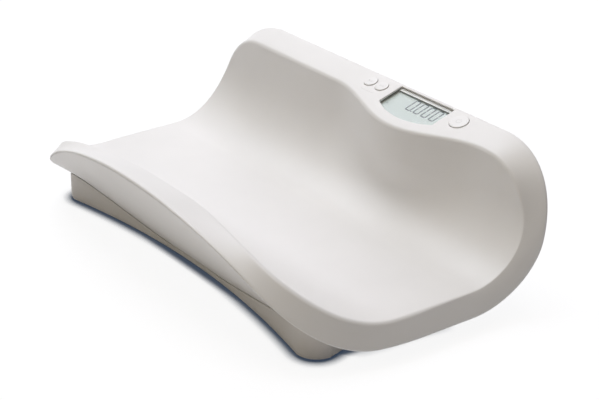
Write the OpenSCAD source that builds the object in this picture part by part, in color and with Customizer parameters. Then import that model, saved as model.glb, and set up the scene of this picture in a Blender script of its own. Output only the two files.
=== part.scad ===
// Digital baby weighing scale: a cradle tray with a display ledge along its back,
// carried by one load cell on a low base with four corners.
// Millimetres, +Z up. The origin is on the table under the middle of the tray's box,
// +X is the user's right hand and +Y is the high back wall.
//
// The cradle and the belly under it are each drawn as a section (front to back)
// that is swept along X. Both rims are drawn on the unrolled sections: a place on a
// section is a distance s along its arc, so a rim is a list of places [x, s].

/* [Tray] */
// Length of the tray, end to end
tray_w = 552; // [500:1:600]
// Depth of the tray, front lip to back edge
tray_d = 332; // [320:1:345]
// Height of the ledge's back edge above the table
tray_h = 156; // [148:1:166]
// Wall of the upper shell
shell_t = 2.8; // [2.2:0.1:3]
// Wall of the lower shell
belly_t = 2.5; // [2:0.1:3]

/* [Cradle] */
// Height of the lying surface
lying_h = 39; // [36:0.5:44]
// Distance that the cradle stops short of each end of the tray
end_inset = 12; // [8:0.5:16]
// Distance from the tray's front edge in to the flat floor
floor_in = 129; // [121:1:136]
// Radius from the floor up into the back wall
back_r = 71; // [60:1:78]
// Turn from the floor to the back wall
back_turn = 88; // [85:0.5:89]
// Radius from the floor up into the front wall
front_r = 112; // [100:1:120]
// Turn from the floor to the front wall
front_turn = 63; // [56:0.5:64]

/* [Ledge] */
// Depth of the ledge in plan, where no display widens it
ledge_run = 37; // [34:0.5:42]
// Slope of the ledge down towards the user
ledge_tilt = 17; // [12:0.5:20]
// How far the ledge swells forward at the display
swell = 24; // [18:0.5:27]
// Half of the length over which the ledge swells
swell_half = 118; // [100:1:125]

/* [Front lip] */
// Height of the lip's outer edge at the middle
lip_h = 123; // [115:1:130]
// How far ahead of its rounded edge the lip's faces would meet
lip_point = 3; // [2:0.1:4]
// Height of the lip's inner edge
lip_in_h = 101; // [96:1:108]
// How far the middle of the lip stands in from its shoulders
pinch = 19.5; // [12:0.5:24]
// Half of the length over which the lip is fully drawn in
pinch_flat = 31; // [20:1:60]
// Where the lip's drawn-in stretch has run out
pinch_end = 203; // [160:1:220]

/* [Rim corners] */
// Inner rim, back corner: its reach along the tray
in_back_x = 70; // [50:1:90]
// Inner rim, back corner: its reach down the wall
in_back_s = 103; // [80:1:110]
// Inner rim, front corner: its reach along the tray
in_front_x = 146; // [110:1:160]
// Inner rim, front corner: its reach down the wall and floor
in_front_s = 146; // [130:1:170]
// Outer rim, back corner: its reach along the tray
out_back_x = 90; // [70:1:110]
// Outer rim, back corner: its reach down the belly
out_back_s = 100; // [80:1:120]
// Outer rim, front arch: its reach down the belly at the ends
out_front_s = 230; // [200:1:238]
// Squareness of the corners, where 2 is an ellipse
squareness = 2.2; // [2:0.05:2.5]
// Fullness of the outer rim's front arch, where 2 is an ellipse
arch = 2.5; // [2:0.05:2.8]
// Rounding of the rim's inner edge
edge_in_r = 5; // [3:0.5:6]
// Rounding of the rim's outer edge
edge_out_r = 2; // [1.6:0.1:2.6]

/* [Belly] */
// Height of the rim's lowest edge, at the ends of the tray
rim_low = 16.5; // [14:0.5:20]
// Distance from the tray's back edge in to the rim's flat stretch
rim_back_in = 111; // [106:1:121]
// Radius of the rim from its flat stretch up to the back
rim_back_r = 90; // [80:1:96]
// Distance from the tray's front edge in to the rim's flat stretch
rim_front_in = 109; // [104:1:116]
// Radius of the rim from its flat stretch up to the lip
rim_front_r = 103; // [90:1:104]
// Height of the belly's flat bottom
belly_h = 9; // [8:0.5:11]
// Half of the length of the belly's flat bottom
belly_x = 212; // [200:1:220]
// Distance from the tray's front edge in to the belly's flat bottom
belly_front_in = 75; // [72:1:82]
// Distance from the tray's back edge in to the belly's flat bottom
belly_back_in = 94; // [86:1:102]
// Corner radius of the belly's flat bottom
belly_r = 42; // [30:1:50]
// Gap at the parting line of the two shells
part_gap = 0.4; // [0.2:0.1:0.6]

/* [Base] */
// Length of the base, corner to corner
base_w = 468; // [440:1:480]
// Distance from the tray's front edge in to the base's front corners
base_front_in = 53; // [48:1:60]
// Distance from the tray's back edge in to the base's back corners
base_back_in = 58; // [54:1:66]
// How far the long sides of the base draw in at the middle
base_waist = 23; // [10:1:26]
// How far the short sides of the base draw in at the middle
base_end_waist = 12; // [6:1:20]
// Corner radius of the base
base_r = 23; // [18:1:30]
// Wall of the base
base_t = 3; // [2.5:0.1:4]
// Height of the base's underside above the table
base_lift = 2; // [1.5:0.1:3]
// Floor of the base
base_floor = 2.5; // [2:0.1:3]
// Gap between the base's walls and the belly, which lets the tray sink
weigh_gap = 0.9; // [0.9:0.1:1.6]
// Sinking of the tray at which it meets the overload stops
stop_gap = 0.6; // [0.4:0.1:0.8]

/* [Feet] */
// Diameter of a rubber foot
foot_d = 24; // [18:1:26]
// Distance of a foot's centre from the ends of the base
foot_in_x = 26; // [22:1:34]
// Distance of a foot's centre from the long sides of the base
foot_in_y = 27; // [24:1:34]

/* [Display] */
// Middle of the display, right of the tray's middle
display_x = 72; // [60:1:80]
// Length of the display window
window_w = 84.5; // [76:0.5:90]
// Depth of the window at its sides, measured on the slope
window_side = 32; // [26:0.5:33]
// Sag of the window's curved front edge, measured on the slope
window_sag = 10.8; // [6:0.2:12]
// Margin between the window and the ledge's back edge
window_margin = 5.2; // [4.8:0.1:8]
// Depth of the window recess, down to the lens
recess = 3; // [2.9:0.1:4]
// Thickness of the lens
lens_t = 1.5; // [1:0.1:2]
// Depth of the printed strip along the window's back edge
strip_w = 5; // [3:0.1:6]
// Thickness of the liquid-crystal cell
lcd_t = 2.2; // [1.8:0.1:3]

/* [Keys] */
// Diameter of a small key
key_d = 15; // [12:0.5:16]
// Distance between the two small keys' centres
key_pitch = 18.3; // [17.5:0.1:20]
// Distance from the display's middle to the midpoint of the small keys
keys_left = 70; // [66:0.5:76]
// Diameter of the power key
power_d = 20.8; // [16:0.2:22]
// Distance from the display's middle to the power key's centre
power_right = 63; // [59:0.5:68]
// Distance of the keys' centres from the ledge's back edge, in plan
key_back = 17.4; // [15:0.1:19]
// Height of a key's top above the ledge
key_proud = 1.2; // [0.8:0.1:1.6]
// Travel of a key
key_travel = 1; // [0.6:0.1:1.2]
// Clearance round a key in its bore
key_gap = 0.2; // [0.15:0.05:0.3]
// Thickness of the circuit board
pcb_t = 1.6; // [1.2:0.2:2]

/* [Load cell] */
// Length of the load cell
cell_l = 80; // [70:1:90]
// Width and height of the load cell
cell_w = 12.7; // [12:0.1:13]
// Length of each clamped end of the load cell
cell_end = 24; // [20:1:26]
// Diameter of the load cell's screws
cell_screw_d = 4; // [3:0.5:5]
// Distance between the two screws of an end
cell_screw_pitch = 15; // [12:0.5:15]
// Thickness of the spacer between the load cell and the tray's frame
spacer_t = 3; // [2:0.5:4]
// Thickness of the tray's steel frame
frame_t = 2; // [1.5:0.5:2.5]
// Thickness of the steel plate in the base
plate_t = 2; // [1.5:0.5:2.5]

/* [Batteries] */
// Diameter of a battery
cell_d = 14.5; // [14:0.1:15]
// Length of a battery
battery_l = 50.5; // [49:0.5:52]
// Number of batteries side by side
batteries = 4; // [2:1:4]
// Middle of the battery bay, right of the tray's middle
bay_x = 138; // [132:1:144]
// Wall of the battery tub
tub_t = 1.6; // [1.2:0.1:2]
// Travel of the battery door until its lugs are free
door_travel = 9; // [7:0.5:10]
// Thickness of the battery door
door_t = 2.2; // [2:0.1:2.4]

/* [Hidden] */
$fn = 48;

// Steps of the rim: back half, back corner, end, front corner, front half
STEPS = [12, 9, 4, 12, 7];
// Rings between the rim and the flat floor, and over the belly
WALL_RINGS = 8;
BELLY_RINGS = 8;
// Steps of a rounded edge
EDGE_STEPS = 3;

white = "#f2f1ef";
grey = "#8d9094";
steel = "#b9bdc1";
dark = "#3a3c40";

half_w = tray_w / 2;
half_d = tray_d / 2;
in_x = half_w - end_inset;
wall_y = half_d - ledge_run;
floor_front = half_d - floor_in;
rim_front = half_d - rim_front_in;
rim_back = half_d - rim_back_in;
belly_front = half_d - belly_front_in;
belly_back = half_d - belly_back_in;
base_front = half_d - base_front_in;
base_back = half_d - base_back_in;

// ---- sections -------------------------------------------------------------

function ramp(t) = let(c = min(1, max(0, t))) c * c * (3 - 2 * c);
function unit(v) = v / norm(v);
function mix(a, b, t) = a * (1 - t) + b * t;

// A section is [height of its flat, back end, back radius, back turn, front end, front
// radius, front turn]. The turns end in straight walls.
function arc_len(r, turn) = r * turn * PI / 180;
function rise(a, r, turn) =
    let(t = min(turn, a / r * 180 / PI), e = max(0, a - arc_len(r, turn)))
    [r * sin(t) + e * cos(turn), r * (1 - cos(t)) + e * sin(turn)];
function section(s, c) =
    s > c[1] ? let(p = rise(s - c[1], c[2], c[3])) [c[1] + p[0], c[0] + p[1]]
    : s < -c[4] ? let(p = rise(-c[4] - s, c[5], c[6])) [-c[4] - p[0], c[0] + p[1]]
    : [s, c[0]];
// Turn of an arc whose tangent runs on to a point [dy, dz] from the arc's centre
function turn_to(dy, dz, r) = atan2(dz, dy) + asin(r / norm([dy, dz]));

floor_back = wall_y - back_r * sin(back_turn);
CRADLE = [lying_h, floor_back, back_r, back_turn, floor_front, front_r, front_turn];
rim_back_turn = turn_to(half_d - rim_back, tray_h - rim_low - rim_back_r, rim_back_r);
rim_front_turn = turn_to(half_d + lip_point - rim_front, lip_h - rim_low - rim_front_r, rim_front_r);
RIM = [rim_low, rim_back, rim_back_r, rim_back_turn, rim_front, rim_front_r, rim_front_turn];

// Straight wall left over a turn, up to a height
function wall_left(h, c, r, turn) = (h - c[0] - r * (1 - cos(turn))) / sin(turn);

// ---- cradle surface ---------------------------------------------------------

wall_s = floor_back + arc_len(back_r, back_turn);
lip_s = -floor_front - arc_len(front_r, front_turn)
    - wall_left(lip_in_h, CRADLE, front_r, front_turn);
// The swell of the wall at the display fades out this far up the back radius
swell_foot = 0.45;

function swell_at(x) =
    let(d = abs(x - display_x) / swell_half) d < 1 ? swell * pow(cos(90 * d), 2) : 0;
function pinch_at(x) = pinch * (1 - ramp((abs(x) - pinch_flat) / (pinch_end - pinch_flat)));
function swell_share(s) = ramp((s - mix(floor_back, wall_s, swell_foot))
    / (wall_s - mix(floor_back, wall_s, swell_foot)));
function pinch_share(s) = ramp((-floor_front - s) / (-floor_front - lip_s));

function cradle(p) =
    let(x = p[0], s = p[1], c = section(s, CRADLE))
    [x, c[0] - swell_at(x) * swell_share(s) + pinch_at(x) * pinch_share(s), c[1]];
function cradle_normal(p) = unit(cross(
    cradle(p + [1, 0]) - cradle(p - [1, 0]), cradle(p + [0, 1]) - cradle(p - [0, 1])));

// Where the back wall meets the sloping ledge at x
function ledge_z(y) = tray_h - (half_d - y) * tan(ledge_tilt);
function ledge_s(x) =
    let(top = section(wall_s, CRADLE), y = top[0] - swell_at(x))
    wall_s + (ledge_z(y) - top[1]) / (sin(back_turn) - cos(back_turn) * tan(ledge_tilt));

// ---- rims -------------------------------------------------------------------

// A place on the rim is [segment, share of the segment, side], clockwise from the back
function half_rim(side) = [for (g = [0:4], i = [0:STEPS[g] - 1]) [g, i / STEPS[g], side]];
function mirrored(h) = [for (i = [0:len(h) - 1]) let(q = h[len(h) - 1 - i])
    [q[0], q[1] + 1 / STEPS[q[0]], -1]];
PLACES = concat(half_rim(1), mirrored(half_rim(1)));
COUNT = len(PLACES);

function corner_sin(t) = pow(max(0, sin(90 * t)), 2 / squareness);
function corner_cos(t) = pow(max(0, cos(90 * t)), 2 / squareness);

function in_place(q) =
    let(g = q[0], t = q[1], sd = q[2],
        x = g == 0 ? t * (in_x - in_back_x)
            : g == 1 ? in_x - in_back_x + in_back_x * corner_sin(t)
            : g == 2 ? in_x
            : g == 3 ? in_x - in_front_x + in_front_x * corner_cos(t)
            : (1 - t) * (in_x - in_front_x))
    [sd * x,
        g == 0 ? ledge_s(sd * x)
        : g == 1 ? ledge_s(sd * x) - in_back_s * (1 - corner_cos(t))
        : g == 2 ? mix(ledge_s(sd * x) - in_back_s, lip_s + in_front_s, t)
        : g == 3 ? lip_s + in_front_s * (1 - corner_sin(t))
        : lip_s];

rim_top = rim_back + arc_len(rim_back_r, rim_back_turn)
    + wall_left(tray_h, RIM, rim_back_r, rim_back_turn);
rim_lip = -rim_front - arc_len(rim_front_r, rim_front_turn)
    - wall_left(lip_h, RIM, rim_front_r, rim_front_turn);

function out_rim(q) =
    let(g = q[0], t = q[1], sd = q[2], in = abs(in_place(q)[0]),
        x = g == 0 ? t * (half_w - out_back_x)
            : g == 1 ? half_w - out_back_x + out_back_x * corner_sin(t)
            : g == 2 ? half_w
            : in * half_w / in_x,
        s = g == 0 ? rim_top
            : g == 1 ? rim_top - out_back_s * (1 - corner_cos(t))
            : g == 2 ? mix(rim_top - out_back_s, rim_lip + out_front_s, t)
            : rim_lip + out_front_s
                * (1 - pow(max(0, 1 - pow(x / half_w, 2)), 1 / arch)),
        c = section(s, RIM))
    [sd * x, c[0], c[1]];

// Share of the way round a rounded rectangle: a place on the flat floor under the rim
function flat_place(q, hx, back, front, r) =
    let(g = q[0], t = q[1],
        p = g == 0 ? [t * (hx - r), back]
            : g == 1 ? [hx - r + r * sin(90 * t), back - r + r * cos(90 * t)]
            : g == 2 ? [hx, mix(back - r, r - front, t)]
            : g == 3 ? [hx - r + r * cos(90 * t), r - front - r * sin(90 * t)]
            : [(1 - t) * (hx - r), -front])
    [q[2] * p[0], p[1]];

// Flat of the cradle's floor, which the wall rings run down to
flat_margin = 6;
function floor_place(q) = flat_place(q, in_x - in_front_x / 2,
    floor_back - flat_margin, floor_front - flat_margin, floor_front - 2 * flat_margin);

// Rounded edge between two directions that leave a corner
function edge_len(a, b, r) = r / tan(acos(a * b) / 2);
function edge(p, a, b, r, n) =
    let(half = acos(a * b) / 2, mid = p + unit(a + b) * r / sin(half),
        u = unit(p + a * edge_len(a, b, r) - mid), v = unit(p + b * edge_len(a, b, r) - mid),
        w = acos(max(-1, min(1, u * v))))
    [for (i = [0:n]) mid + r * (u * sin(w * (1 - i / n)) + v * sin(w * i / n)) / sin(w)];

// ---- belly surface ------------------------------------------------------------

// How full the belly is between the rim and its flat bottom: full behind, straight ahead
function fullness(q) = q[0] < 2 ? 1 : q[0] > 2 ? 0 : 1 - ramp(q[1]);
function belly_foot(q) =
    let(p = flat_place(q, belly_x, belly_back, belly_front, belly_r)) [p[0], p[1], belly_h];
function belly_knee(q) =
    let(f = fullness(q), o = out_rim(q), b = belly_foot(q),
        p = mix(o, b, 0.5 - 0.3 * f), z = mix(b[2], o[2], 0.5 - 0.44 * f))
    [p[0], p[1], z];
function belly(q, t) =
    let(o = out_rim(q), k = belly_knee(q), b = belly_foot(q))
    o * pow(1 - t, 2) + k * 2 * t * (1 - t) + b * t * t;
function around(i) = PLACES[(i + COUNT) % COUNT];
function belly_normal(i, t) =
    let(d = 0.01)
    unit(cross(belly(around(i), min(1, t + d)) - belly(around(i), max(0, t - d)),
        belly(around(i + 1), t) - belly(around(i - 1), t)));

// ---- solids from rings ----------------------------------------------------------

// Closed solid from a stack of rings, with a fan of faces over the first and the last
function middle(r) = [for (c = [0:2]) sum([for (p = r) p[c]]) / len(r)];
function sum(v) = v * [for (x = v) 1];
module ring_solid(stack, rising) {
    rings = rising ? stack : [for (j = [len(stack) - 1:-1:0]) stack[j]];
    n = len(rings[0]);
    m = len(rings);
    sides = [for (j = [0:m - 2], i = [0:n - 1], h = [0, 1])
        let(a = j * n + i, b = j * n + (i + 1) % n)
        h == 0 ? [a, b, b + n] : [a, b + n, a + n]];
    first = [for (i = [0:n - 1]) [(i + 1) % n, i, m * n]];
    last = [for (i = [0:n - 1]) [(m - 1) * n + i, (m - 1) * n + (i + 1) % n, m * n + 1]];
    polyhedron(concat([for (r = rings) each r], [middle(rings[0]), middle(rings[m - 1])]),
        concat(sides, first, last), convexity = 8);
}

function transposed(a) = [for (j = [0:len(a[0]) - 1]) [for (i = [0:len(a) - 1]) a[i][j]]];

// One spoke of the upper shell: over the floor, up the wall, round the rim's two
// edges, and back along the inside of the shell
function shell_spoke(q) =
    let(p = in_place(q), f = floor_place(q),
        a = cradle(p), o = out_rim(q),
        down = unit(cradle(mix(p, f, 0.03)) - a), band = unit(o - a),
        under = unit(belly(q, 0.03) - o),
        walls = [for (k = [1:WALL_RINGS]) mix(p, f, k / WALL_RINGS)],
        inner = a + unit(down + band) * shell_t / sin(acos(down * band) / 2),
        tip = o + under * edge_len(-band, under, edge_out_r),
        side = unit(-band + under), inward = unit(side - (side * under) * under))
    concat(
        [for (k = [WALL_RINGS - 1:-1:0]) cradle(walls[k])],
        edge(a, down, band, edge_in_r, EDGE_STEPS),
        edge(o, -band, under, edge_out_r, EDGE_STEPS),
        [tip + inward * shell_t, inner],
        [for (k = [0:WALL_RINGS - 1]) cradle(walls[k]) - cradle_normal(walls[k]) * shell_t]);

// One spoke of the lower shell: down the outside of the belly and back up its inside.
// Its top edge slants away from the upper shell.
edge_slant = 2.4;
function belly_start(q) =
    let(o = out_rim(q), a = cradle(in_place(q)), under = unit(belly(q, 0.03) - o))
    edge_len(unit(a - o), under, edge_out_r) + part_gap;
function belly_share(q, more = 0) =
    (belly_start(q) + more) / norm(belly(q, 0.1) - out_rim(q)) * 0.1;
function belly_spoke(i) =
    let(q = around(i), t0 = belly_share(q),
        ts = [for (k = [0:BELLY_RINGS]) mix(t0, 1, k / BELLY_RINGS)])
    concat(
        [for (k = [BELLY_RINGS:-1:0]) belly(q, ts[k])],
        [for (k = [0:BELLY_RINGS]) let(t = k == 0 ? belly_share(q, edge_slant) : ts[k])
            belly(q, t) + (k == BELLY_RINGS ? [0, 0, 1] : belly_normal(i, t)) * belly_t]);

module tray_skin() ring_solid(transposed([for (q = PLACES) shell_spoke(q)]), false);
module belly_skin() ring_solid(transposed([for (i = [0:COUNT - 1]) belly_spoke(i)]), true);

// Room of the belly with a gap round it, from above the base down to the flat bottom
ROOM_RING = 1;
function room_spoke(i, gap, top) =
    let(q = around(i), t0 = belly_share(q),
        side = [for (k = [ROOM_RING:BELLY_RINGS]) let(t = mix(t0, 1, k / BELLY_RINGS))
            belly(q, t) - (k == BELLY_RINGS ? [0, 0, 1] : belly_normal(i, t)) * gap])
    concat([[side[0][0], side[0][1], top]], side);
module belly_room(gap, top)
    ring_solid(transposed([for (i = [0:COUNT - 1]) room_spoke(i, gap, top)]), false);

// ---- ledge ------------------------------------------------------------------------

// Local frame on the ledge: x along it, y up the slope from the window's back edge,
// z square to it
window_y = half_d - window_margin;
module on_ledge(x) translate([x, window_y, ledge_z(window_y)]) rotate([ledge_tilt, 0, 0])
    children();
key_v = -(key_back - window_margin) / cos(ledge_tilt);
module on_key(x) on_ledge(x) translate([0, key_v, 0]) children();

left_x = display_x - keys_left - key_pitch / 2;
right_x = display_x - keys_left + key_pitch / 2;
power_x = display_x + power_right;

// Fit between pieces that lie against each other
seat = 0.1;
// Clearance round an inner piece in its pocket
ease = 0.3;

lens_top = -recess;
lcd_top = lens_top - lens_t - seat;
board_top = lcd_top - lcd_t - 3.15;
window_deep = window_side + window_sag;
window_r = (pow(window_w / 2, 2) + pow(window_sag, 2)) / (2 * window_sag);

// Outline of the display window: straight back and sides, and a front edge bowed
// towards the user
module window_outline(grow) intersection() {
    translate([-window_w / 2 - grow, -window_deep - grow])
        square([window_w + 2 * grow, window_deep + 2 * grow]);
    translate([0, window_r - window_deep]) circle(window_r + grow, $fn = 180);
}

// ---- upper shell --------------------------------------------------------------------

// Height of the cradle's surface at a depth y, where no swell or pinch moves it
function floor_z(y) =
    y > floor_back ? lying_h + back_r - sqrt(pow(back_r, 2) - pow(y - floor_back, 2))
    : y < -floor_front
        ? lying_h + front_r - sqrt(pow(front_r, 2) - pow(y + floor_front, 2))
    : lying_h;

cell_z = belly_h + belly_t + 3;
frame_z = cell_z + cell_w + spacer_t;
frame_top = frame_z + frame_t;
boss_d = 9;
pilot_d = 3;
head_d = 5.6;
head_t = 2;
frame_half_x = 90;
frame_half_y = 42;
frame_r = 8;
FRAME_SPOTS = [for (x = [-1:1], y = [-1, 1]) [x * (frame_half_x - 10), y * (frame_half_y - 9)]];
// Case screws: four at the ends of the belly's flat bottom, two ahead and two behind
case_end = 14;
case_y = 35;
case_x = 60;
case_front = 21;
case_back = 12;
CASE_SPOTS = concat(
    [for (y = [-1, 1], x = [-1, 1]) [x * (belly_x - case_end), y * case_y]],
    [for (y = [case_front - belly_front, belly_back - case_back], x = [-1, 1]) [x * case_x, y]]);
post_z = 16;
post_d = 8;
bore_gap = 0.2;

// Places of the board's bosses: x, and the distance down the slope
BOARD_SPOTS = [[left_x - 11, -24], [right_x + 10, -25],
    [power_x - 13.5, -26], [power_x + 12, -25]];
board_boss_d = 6;

module key_bore(x, d) on_key(x) translate([0, 0, -2 * shell_t])
    cylinder(d = d + 2 * key_gap, h = 4 * shell_t);

module upper_shell() color(white) difference() {
    union() {
        tray_skin();
        for (p = FRAME_SPOTS) translate([p[0], p[1], frame_top])
            cylinder(d = boss_d, h = lying_h - shell_t / 2 - frame_top);
        for (p = CASE_SPOTS) translate([p[0], p[1], post_z])
            cylinder(d = post_d, h = floor_z(p[1]) - shell_t / 2 - post_z);
        for (p = BOARD_SPOTS) on_ledge(p[0]) translate([0, p[1], board_top])
            cylinder(d = board_boss_d, h = -shell_t / 2 - board_top);
    }
    on_ledge(display_x) translate([0, 0, -2 * shell_t]) linear_extrude(4 * shell_t)
        window_outline(0);
    key_bore(left_x, key_d);
    key_bore(right_x, key_d);
    key_bore(power_x, power_d);
    for (p = FRAME_SPOTS) translate([p[0], p[1], frame_top - 1])
        cylinder(d = pilot_d + bore_gap, h = 6);
    for (p = CASE_SPOTS) translate([p[0], p[1], post_z - 1])
        cylinder(d = pilot_d + bore_gap, h = 12);
    for (p = BOARD_SPOTS) on_ledge(p[0]) translate([0, p[1], board_top - 1])
        cylinder(d = 2 + bore_gap, h = 6);
}

// ---- lower shell --------------------------------------------------------------------

ped_x = -cell_l / 2 + cell_end / 2;
belly_top = belly_h + belly_t;
head_z = post_z - 2.5;

// Battery bay: cells along Y, side by side along X, above a door that slides along X
cells_pitch = cell_d + 0.2;
door_x = batteries * cells_pitch / 2 + 0.4;
contact_run = 2.4;
door_y = battery_l / 2 + contact_run;
tongue_t = 1;
tongue_run = door_travel - 3;
cells_z = belly_top + tongue_t + 2 * ease + cell_d / 2 + 0.2;
tub_left = bay_x - door_x - tongue_run - 2 * ease;
tub_right = bay_x + door_x + door_travel + 2 * ease;

module lower_shell() color(white) difference() {
    union() {
        belly_skin();
        for (p = CASE_SPOTS) translate([p[0], p[1], belly_top - 0.5])
            cylinder(d = post_d + 2, h = post_z - belly_top + 0.5);
    }
    for (p = CASE_SPOTS) translate([p[0], p[1], 0]) {
        cylinder(d = head_d + 2 * ease, h = head_z);
        cylinder(d = pilot_d + 2 * bore_gap, h = post_z + 1);
    }
    translate([ped_x - cell_end / 2 - 4, -cell_w / 2 - 7, 0])
        cube([cell_end + 8, cell_w + 14, post_z]);
    translate([bay_x - door_x - ease, -door_y - ease, 0])
        cube([2 * door_x + 2 * ease + door_travel, 2 * door_y + 2 * ease, post_z]);
}

// ---- display --------------------------------------------------------------------------

lens_grow = 2.3;
module display_lens() color("#c9d4d2") on_ledge(display_x)
    translate([0, 0, lens_top - lens_t]) linear_extrude(lens_t) intersection() {
        window_outline(lens_grow);
        translate([-window_w, seat - 2 * window_deep]) square([2 * window_w, 2 * window_deep]);
    }

strip_t = 0.2;
module print_strip() color("#e9ebea") on_ledge(display_x)
    translate([-window_w / 2 + seat, -strip_w, lens_top]) linear_extrude(strip_t)
        square([window_w - 2 * seat, strip_w - seat]);

lcd_w = window_w - 0.5;
lcd_front = -41.5;
lcd_back = -2.2;
module lcd_cell() color("#b9c6c2") on_ledge(display_x)
    translate([-lcd_w / 2, lcd_front, lcd_top - lcd_t])
        cube([lcd_w, lcd_back - lcd_front, lcd_t]);

holder_side = 2.4;
holder_h = lcd_t + 1.3;
module lcd_holder() color("#e4e4e2") on_ledge(display_x)
    translate([0, 0, lcd_top - holder_h]) difference() {
        translate([-lcd_w / 2 - ease - holder_side, lcd_front - ease - holder_side, 0])
            cube([lcd_w + 2 * (ease + holder_side),
                lcd_back - lcd_front + 2 * ease + holder_side, holder_h]);
        translate([-lcd_w / 2 - ease, lcd_front - ease, holder_h - lcd_t - seat])
            cube([lcd_w + 2 * ease, lcd_back - lcd_front + 4 * ease, 2 * lcd_t]);
        translate([-lcd_w / 2 + 3, lcd_front - ease, -1])
            cube([lcd_w - 6, lcd_back - lcd_front - 3, 2 * holder_h]);
    }

zebra_w = 2.2;
zebra_v = lcd_front + 1;
module zebra_strip() color(dark) on_ledge(display_x)
    translate([-lcd_w / 2 + 6, zebra_v, board_top + seat])
        cube([lcd_w - 12, zebra_w, lcd_top - lcd_t - board_top - 2 * seat]);

// ---- circuit board -----------------------------------------------------------------------

board_back = -9.6;
board_wing = -29;
board_front = lcd_front - 1.5;
board_left = left_x - 15;
board_right = power_x + 16;
board_half = lcd_w / 2 + 1;
module main_board() color("#2f6b4a") on_ledge(0)
    translate([0, 0, board_top - pcb_t]) difference() {
        linear_extrude(pcb_t) union() {
            translate([board_left, board_wing])
                square([board_right - board_left, board_back - board_wing]);
            translate([display_x - board_half, board_front])
                square([2 * board_half, board_back - board_front]);
        }
        for (p = BOARD_SPOTS) translate([p[0], p[1], -1])
            cylinder(d = 2 + 2 * bore_gap, h = pcb_t + 2);
    }

board_low = board_top - pcb_t;
// Under the board: two chips, a crystal and two sockets, each [corner, size], and a capacitor
BLOCKS = [[[-26, -36], [12, 12, 1.8]], [[-6, -34], [8, 6, 1.6]], [[8, -26], [7.5, 4, 3.2]],
    [[-62, -26], [9, 5.5, 4.4]], [[36, -36], [7, 5.5, 4.4]]];
capacitor_d = 6.3;
capacitor_h = 5;
module board_parts() color(dark) on_ledge(display_x) translate([0, 0, board_low - seat]) {
    for (b = BLOCKS) translate([b[0][0], b[0][1], -b[1][2]]) cube(b[1]);
    translate([28, -24, -capacitor_h]) cylinder(d = capacitor_d, h = capacitor_h);
}

module board_screws() color(steel) for (p = BOARD_SPOTS)
    on_ledge(p[0]) translate([0, p[1], board_low - seat]) {
        translate([0, 0, -1.4]) cylinder(d = 4, h = 1.4);
        cylinder(d = 2, h = pcb_t + 5);
    }

buzzer_d = 10.5;
buzzer_h = 3.2;
module buzzer() color(dark)
    on_ledge(display_x) translate([2, -15.5, board_low - seat - buzzer_h]) difference() {
        cylinder(d = buzzer_d, h = buzzer_h);
        translate([0, 0, -1]) cylinder(d = 2, h = 1.9);
    }

// ---- keys -----------------------------------------------------------------------------------

flange_gap = 0.4;
flange_t = 1;
flange_run = 1.1;
stem_r = 2;
dome_h = 2.8;
module key(x, d) color(white) on_key(x) {
    rotate_extrude() polygon([[0, -shell_t - flange_gap], [d / 2, -shell_t - flange_gap],
        [d / 2, key_proud - 0.7], [d / 2 - 0.2, key_proud - 0.2], [d / 2 - 0.7, key_proud],
        [0, key_proud - 0.1]]);
    translate([0, 0, -shell_t - flange_gap - flange_t])
        cylinder(d = d + 2 * flange_run, h = flange_t);
    translate([0, 0, board_top + dome_h]) cylinder(r = stem_r,
        h = -shell_t - flange_gap - flange_t - board_top - dome_h);
}
module key_left() key(left_x, key_d);
module key_right() key(right_x, key_d);
module key_power() key(power_x, power_d);

module dome(x) color("#d8d5cc") on_key(x) translate([0, 0, board_top])
    rotate_extrude() polygon([[3.4, 0], [4.6, 0], [4.6, 0.5], [3, dome_h], [0, dome_h],
        [0, dome_h - 0.8], [2.3, dome_h - 0.8]]);
module dome_left() dome(left_x);
module dome_right() dome(right_x);
module dome_power() dome(power_x);

// ---- weighing frame and load cell ---------------------------------------------------------

module plate(hx, hy, r, t) linear_extrude(t) union() {
    square([2 * hx - 2 * r, 2 * hy], center = true);
    square([2 * hx, 2 * hy - 2 * r], center = true);
    for (x = [-1, 1], y = [-1, 1]) translate([x * (hx - r), y * (hy - r)]) circle(r);
}

cell_spots = [for (d = [-0.5, 0.5]) cell_l / 2 - cell_end / 2 + d * cell_screw_pitch];
// Holes that lighten the frame: [x, y, diameter]
FRAME_HOLES = [for (y = [-16, 16]) each [[-58, y, 18], [-20, y, 18], [64, y, 14]]];
module tray_frame() color(steel) difference() {
    translate([0, 0, frame_z]) plate(frame_half_x, frame_half_y, frame_r, frame_t);
    for (p = FRAME_HOLES) translate([p[0], p[1], frame_z - 1])
        cylinder(d = p[2], h = frame_t + 2);
    for (p = FRAME_SPOTS) translate([p[0], p[1], frame_z - 1])
        cylinder(d = pilot_d + 2 * bore_gap, h = frame_t + 2);
    for (x = cell_spots) translate([x, 0, frame_z]) {
        translate([0, 0, -1]) cylinder(d = cell_screw_d + bore_gap, h = frame_t + 2);
        cylinder(d1 = cell_screw_d + bore_gap, d2 = cell_screw_d * 2 + bore_gap, h = frame_t);
    }
}

// Depth that a screw bites into its boss
frame_bite = 4.5;
case_bite = 9.5;
module cap_screw(grip) {
    translate([0, 0, -head_t]) cylinder(d = head_d, h = head_t);
    cylinder(d = pilot_d, h = grip);
}
module frame_screws() color(steel) for (p = FRAME_SPOTS)
    translate([p[0], p[1], frame_z - seat]) cap_screw(frame_t + frame_bite);
module case_screws() color(steel) for (p = CASE_SPOTS)
    translate([p[0], p[1], head_z - seat]) cap_screw(post_z - head_z + case_bite);

module cell_spacer() color(steel) difference() {
    translate([cell_l / 2 - cell_end, -cell_w / 2, cell_z + cell_w])
        cube([cell_end, cell_w, spacer_t]);
    for (x = cell_spots) translate([x, 0, cell_z])
        cylinder(d = cell_screw_d + bore_gap, h = 2 * cell_w);
}

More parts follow.
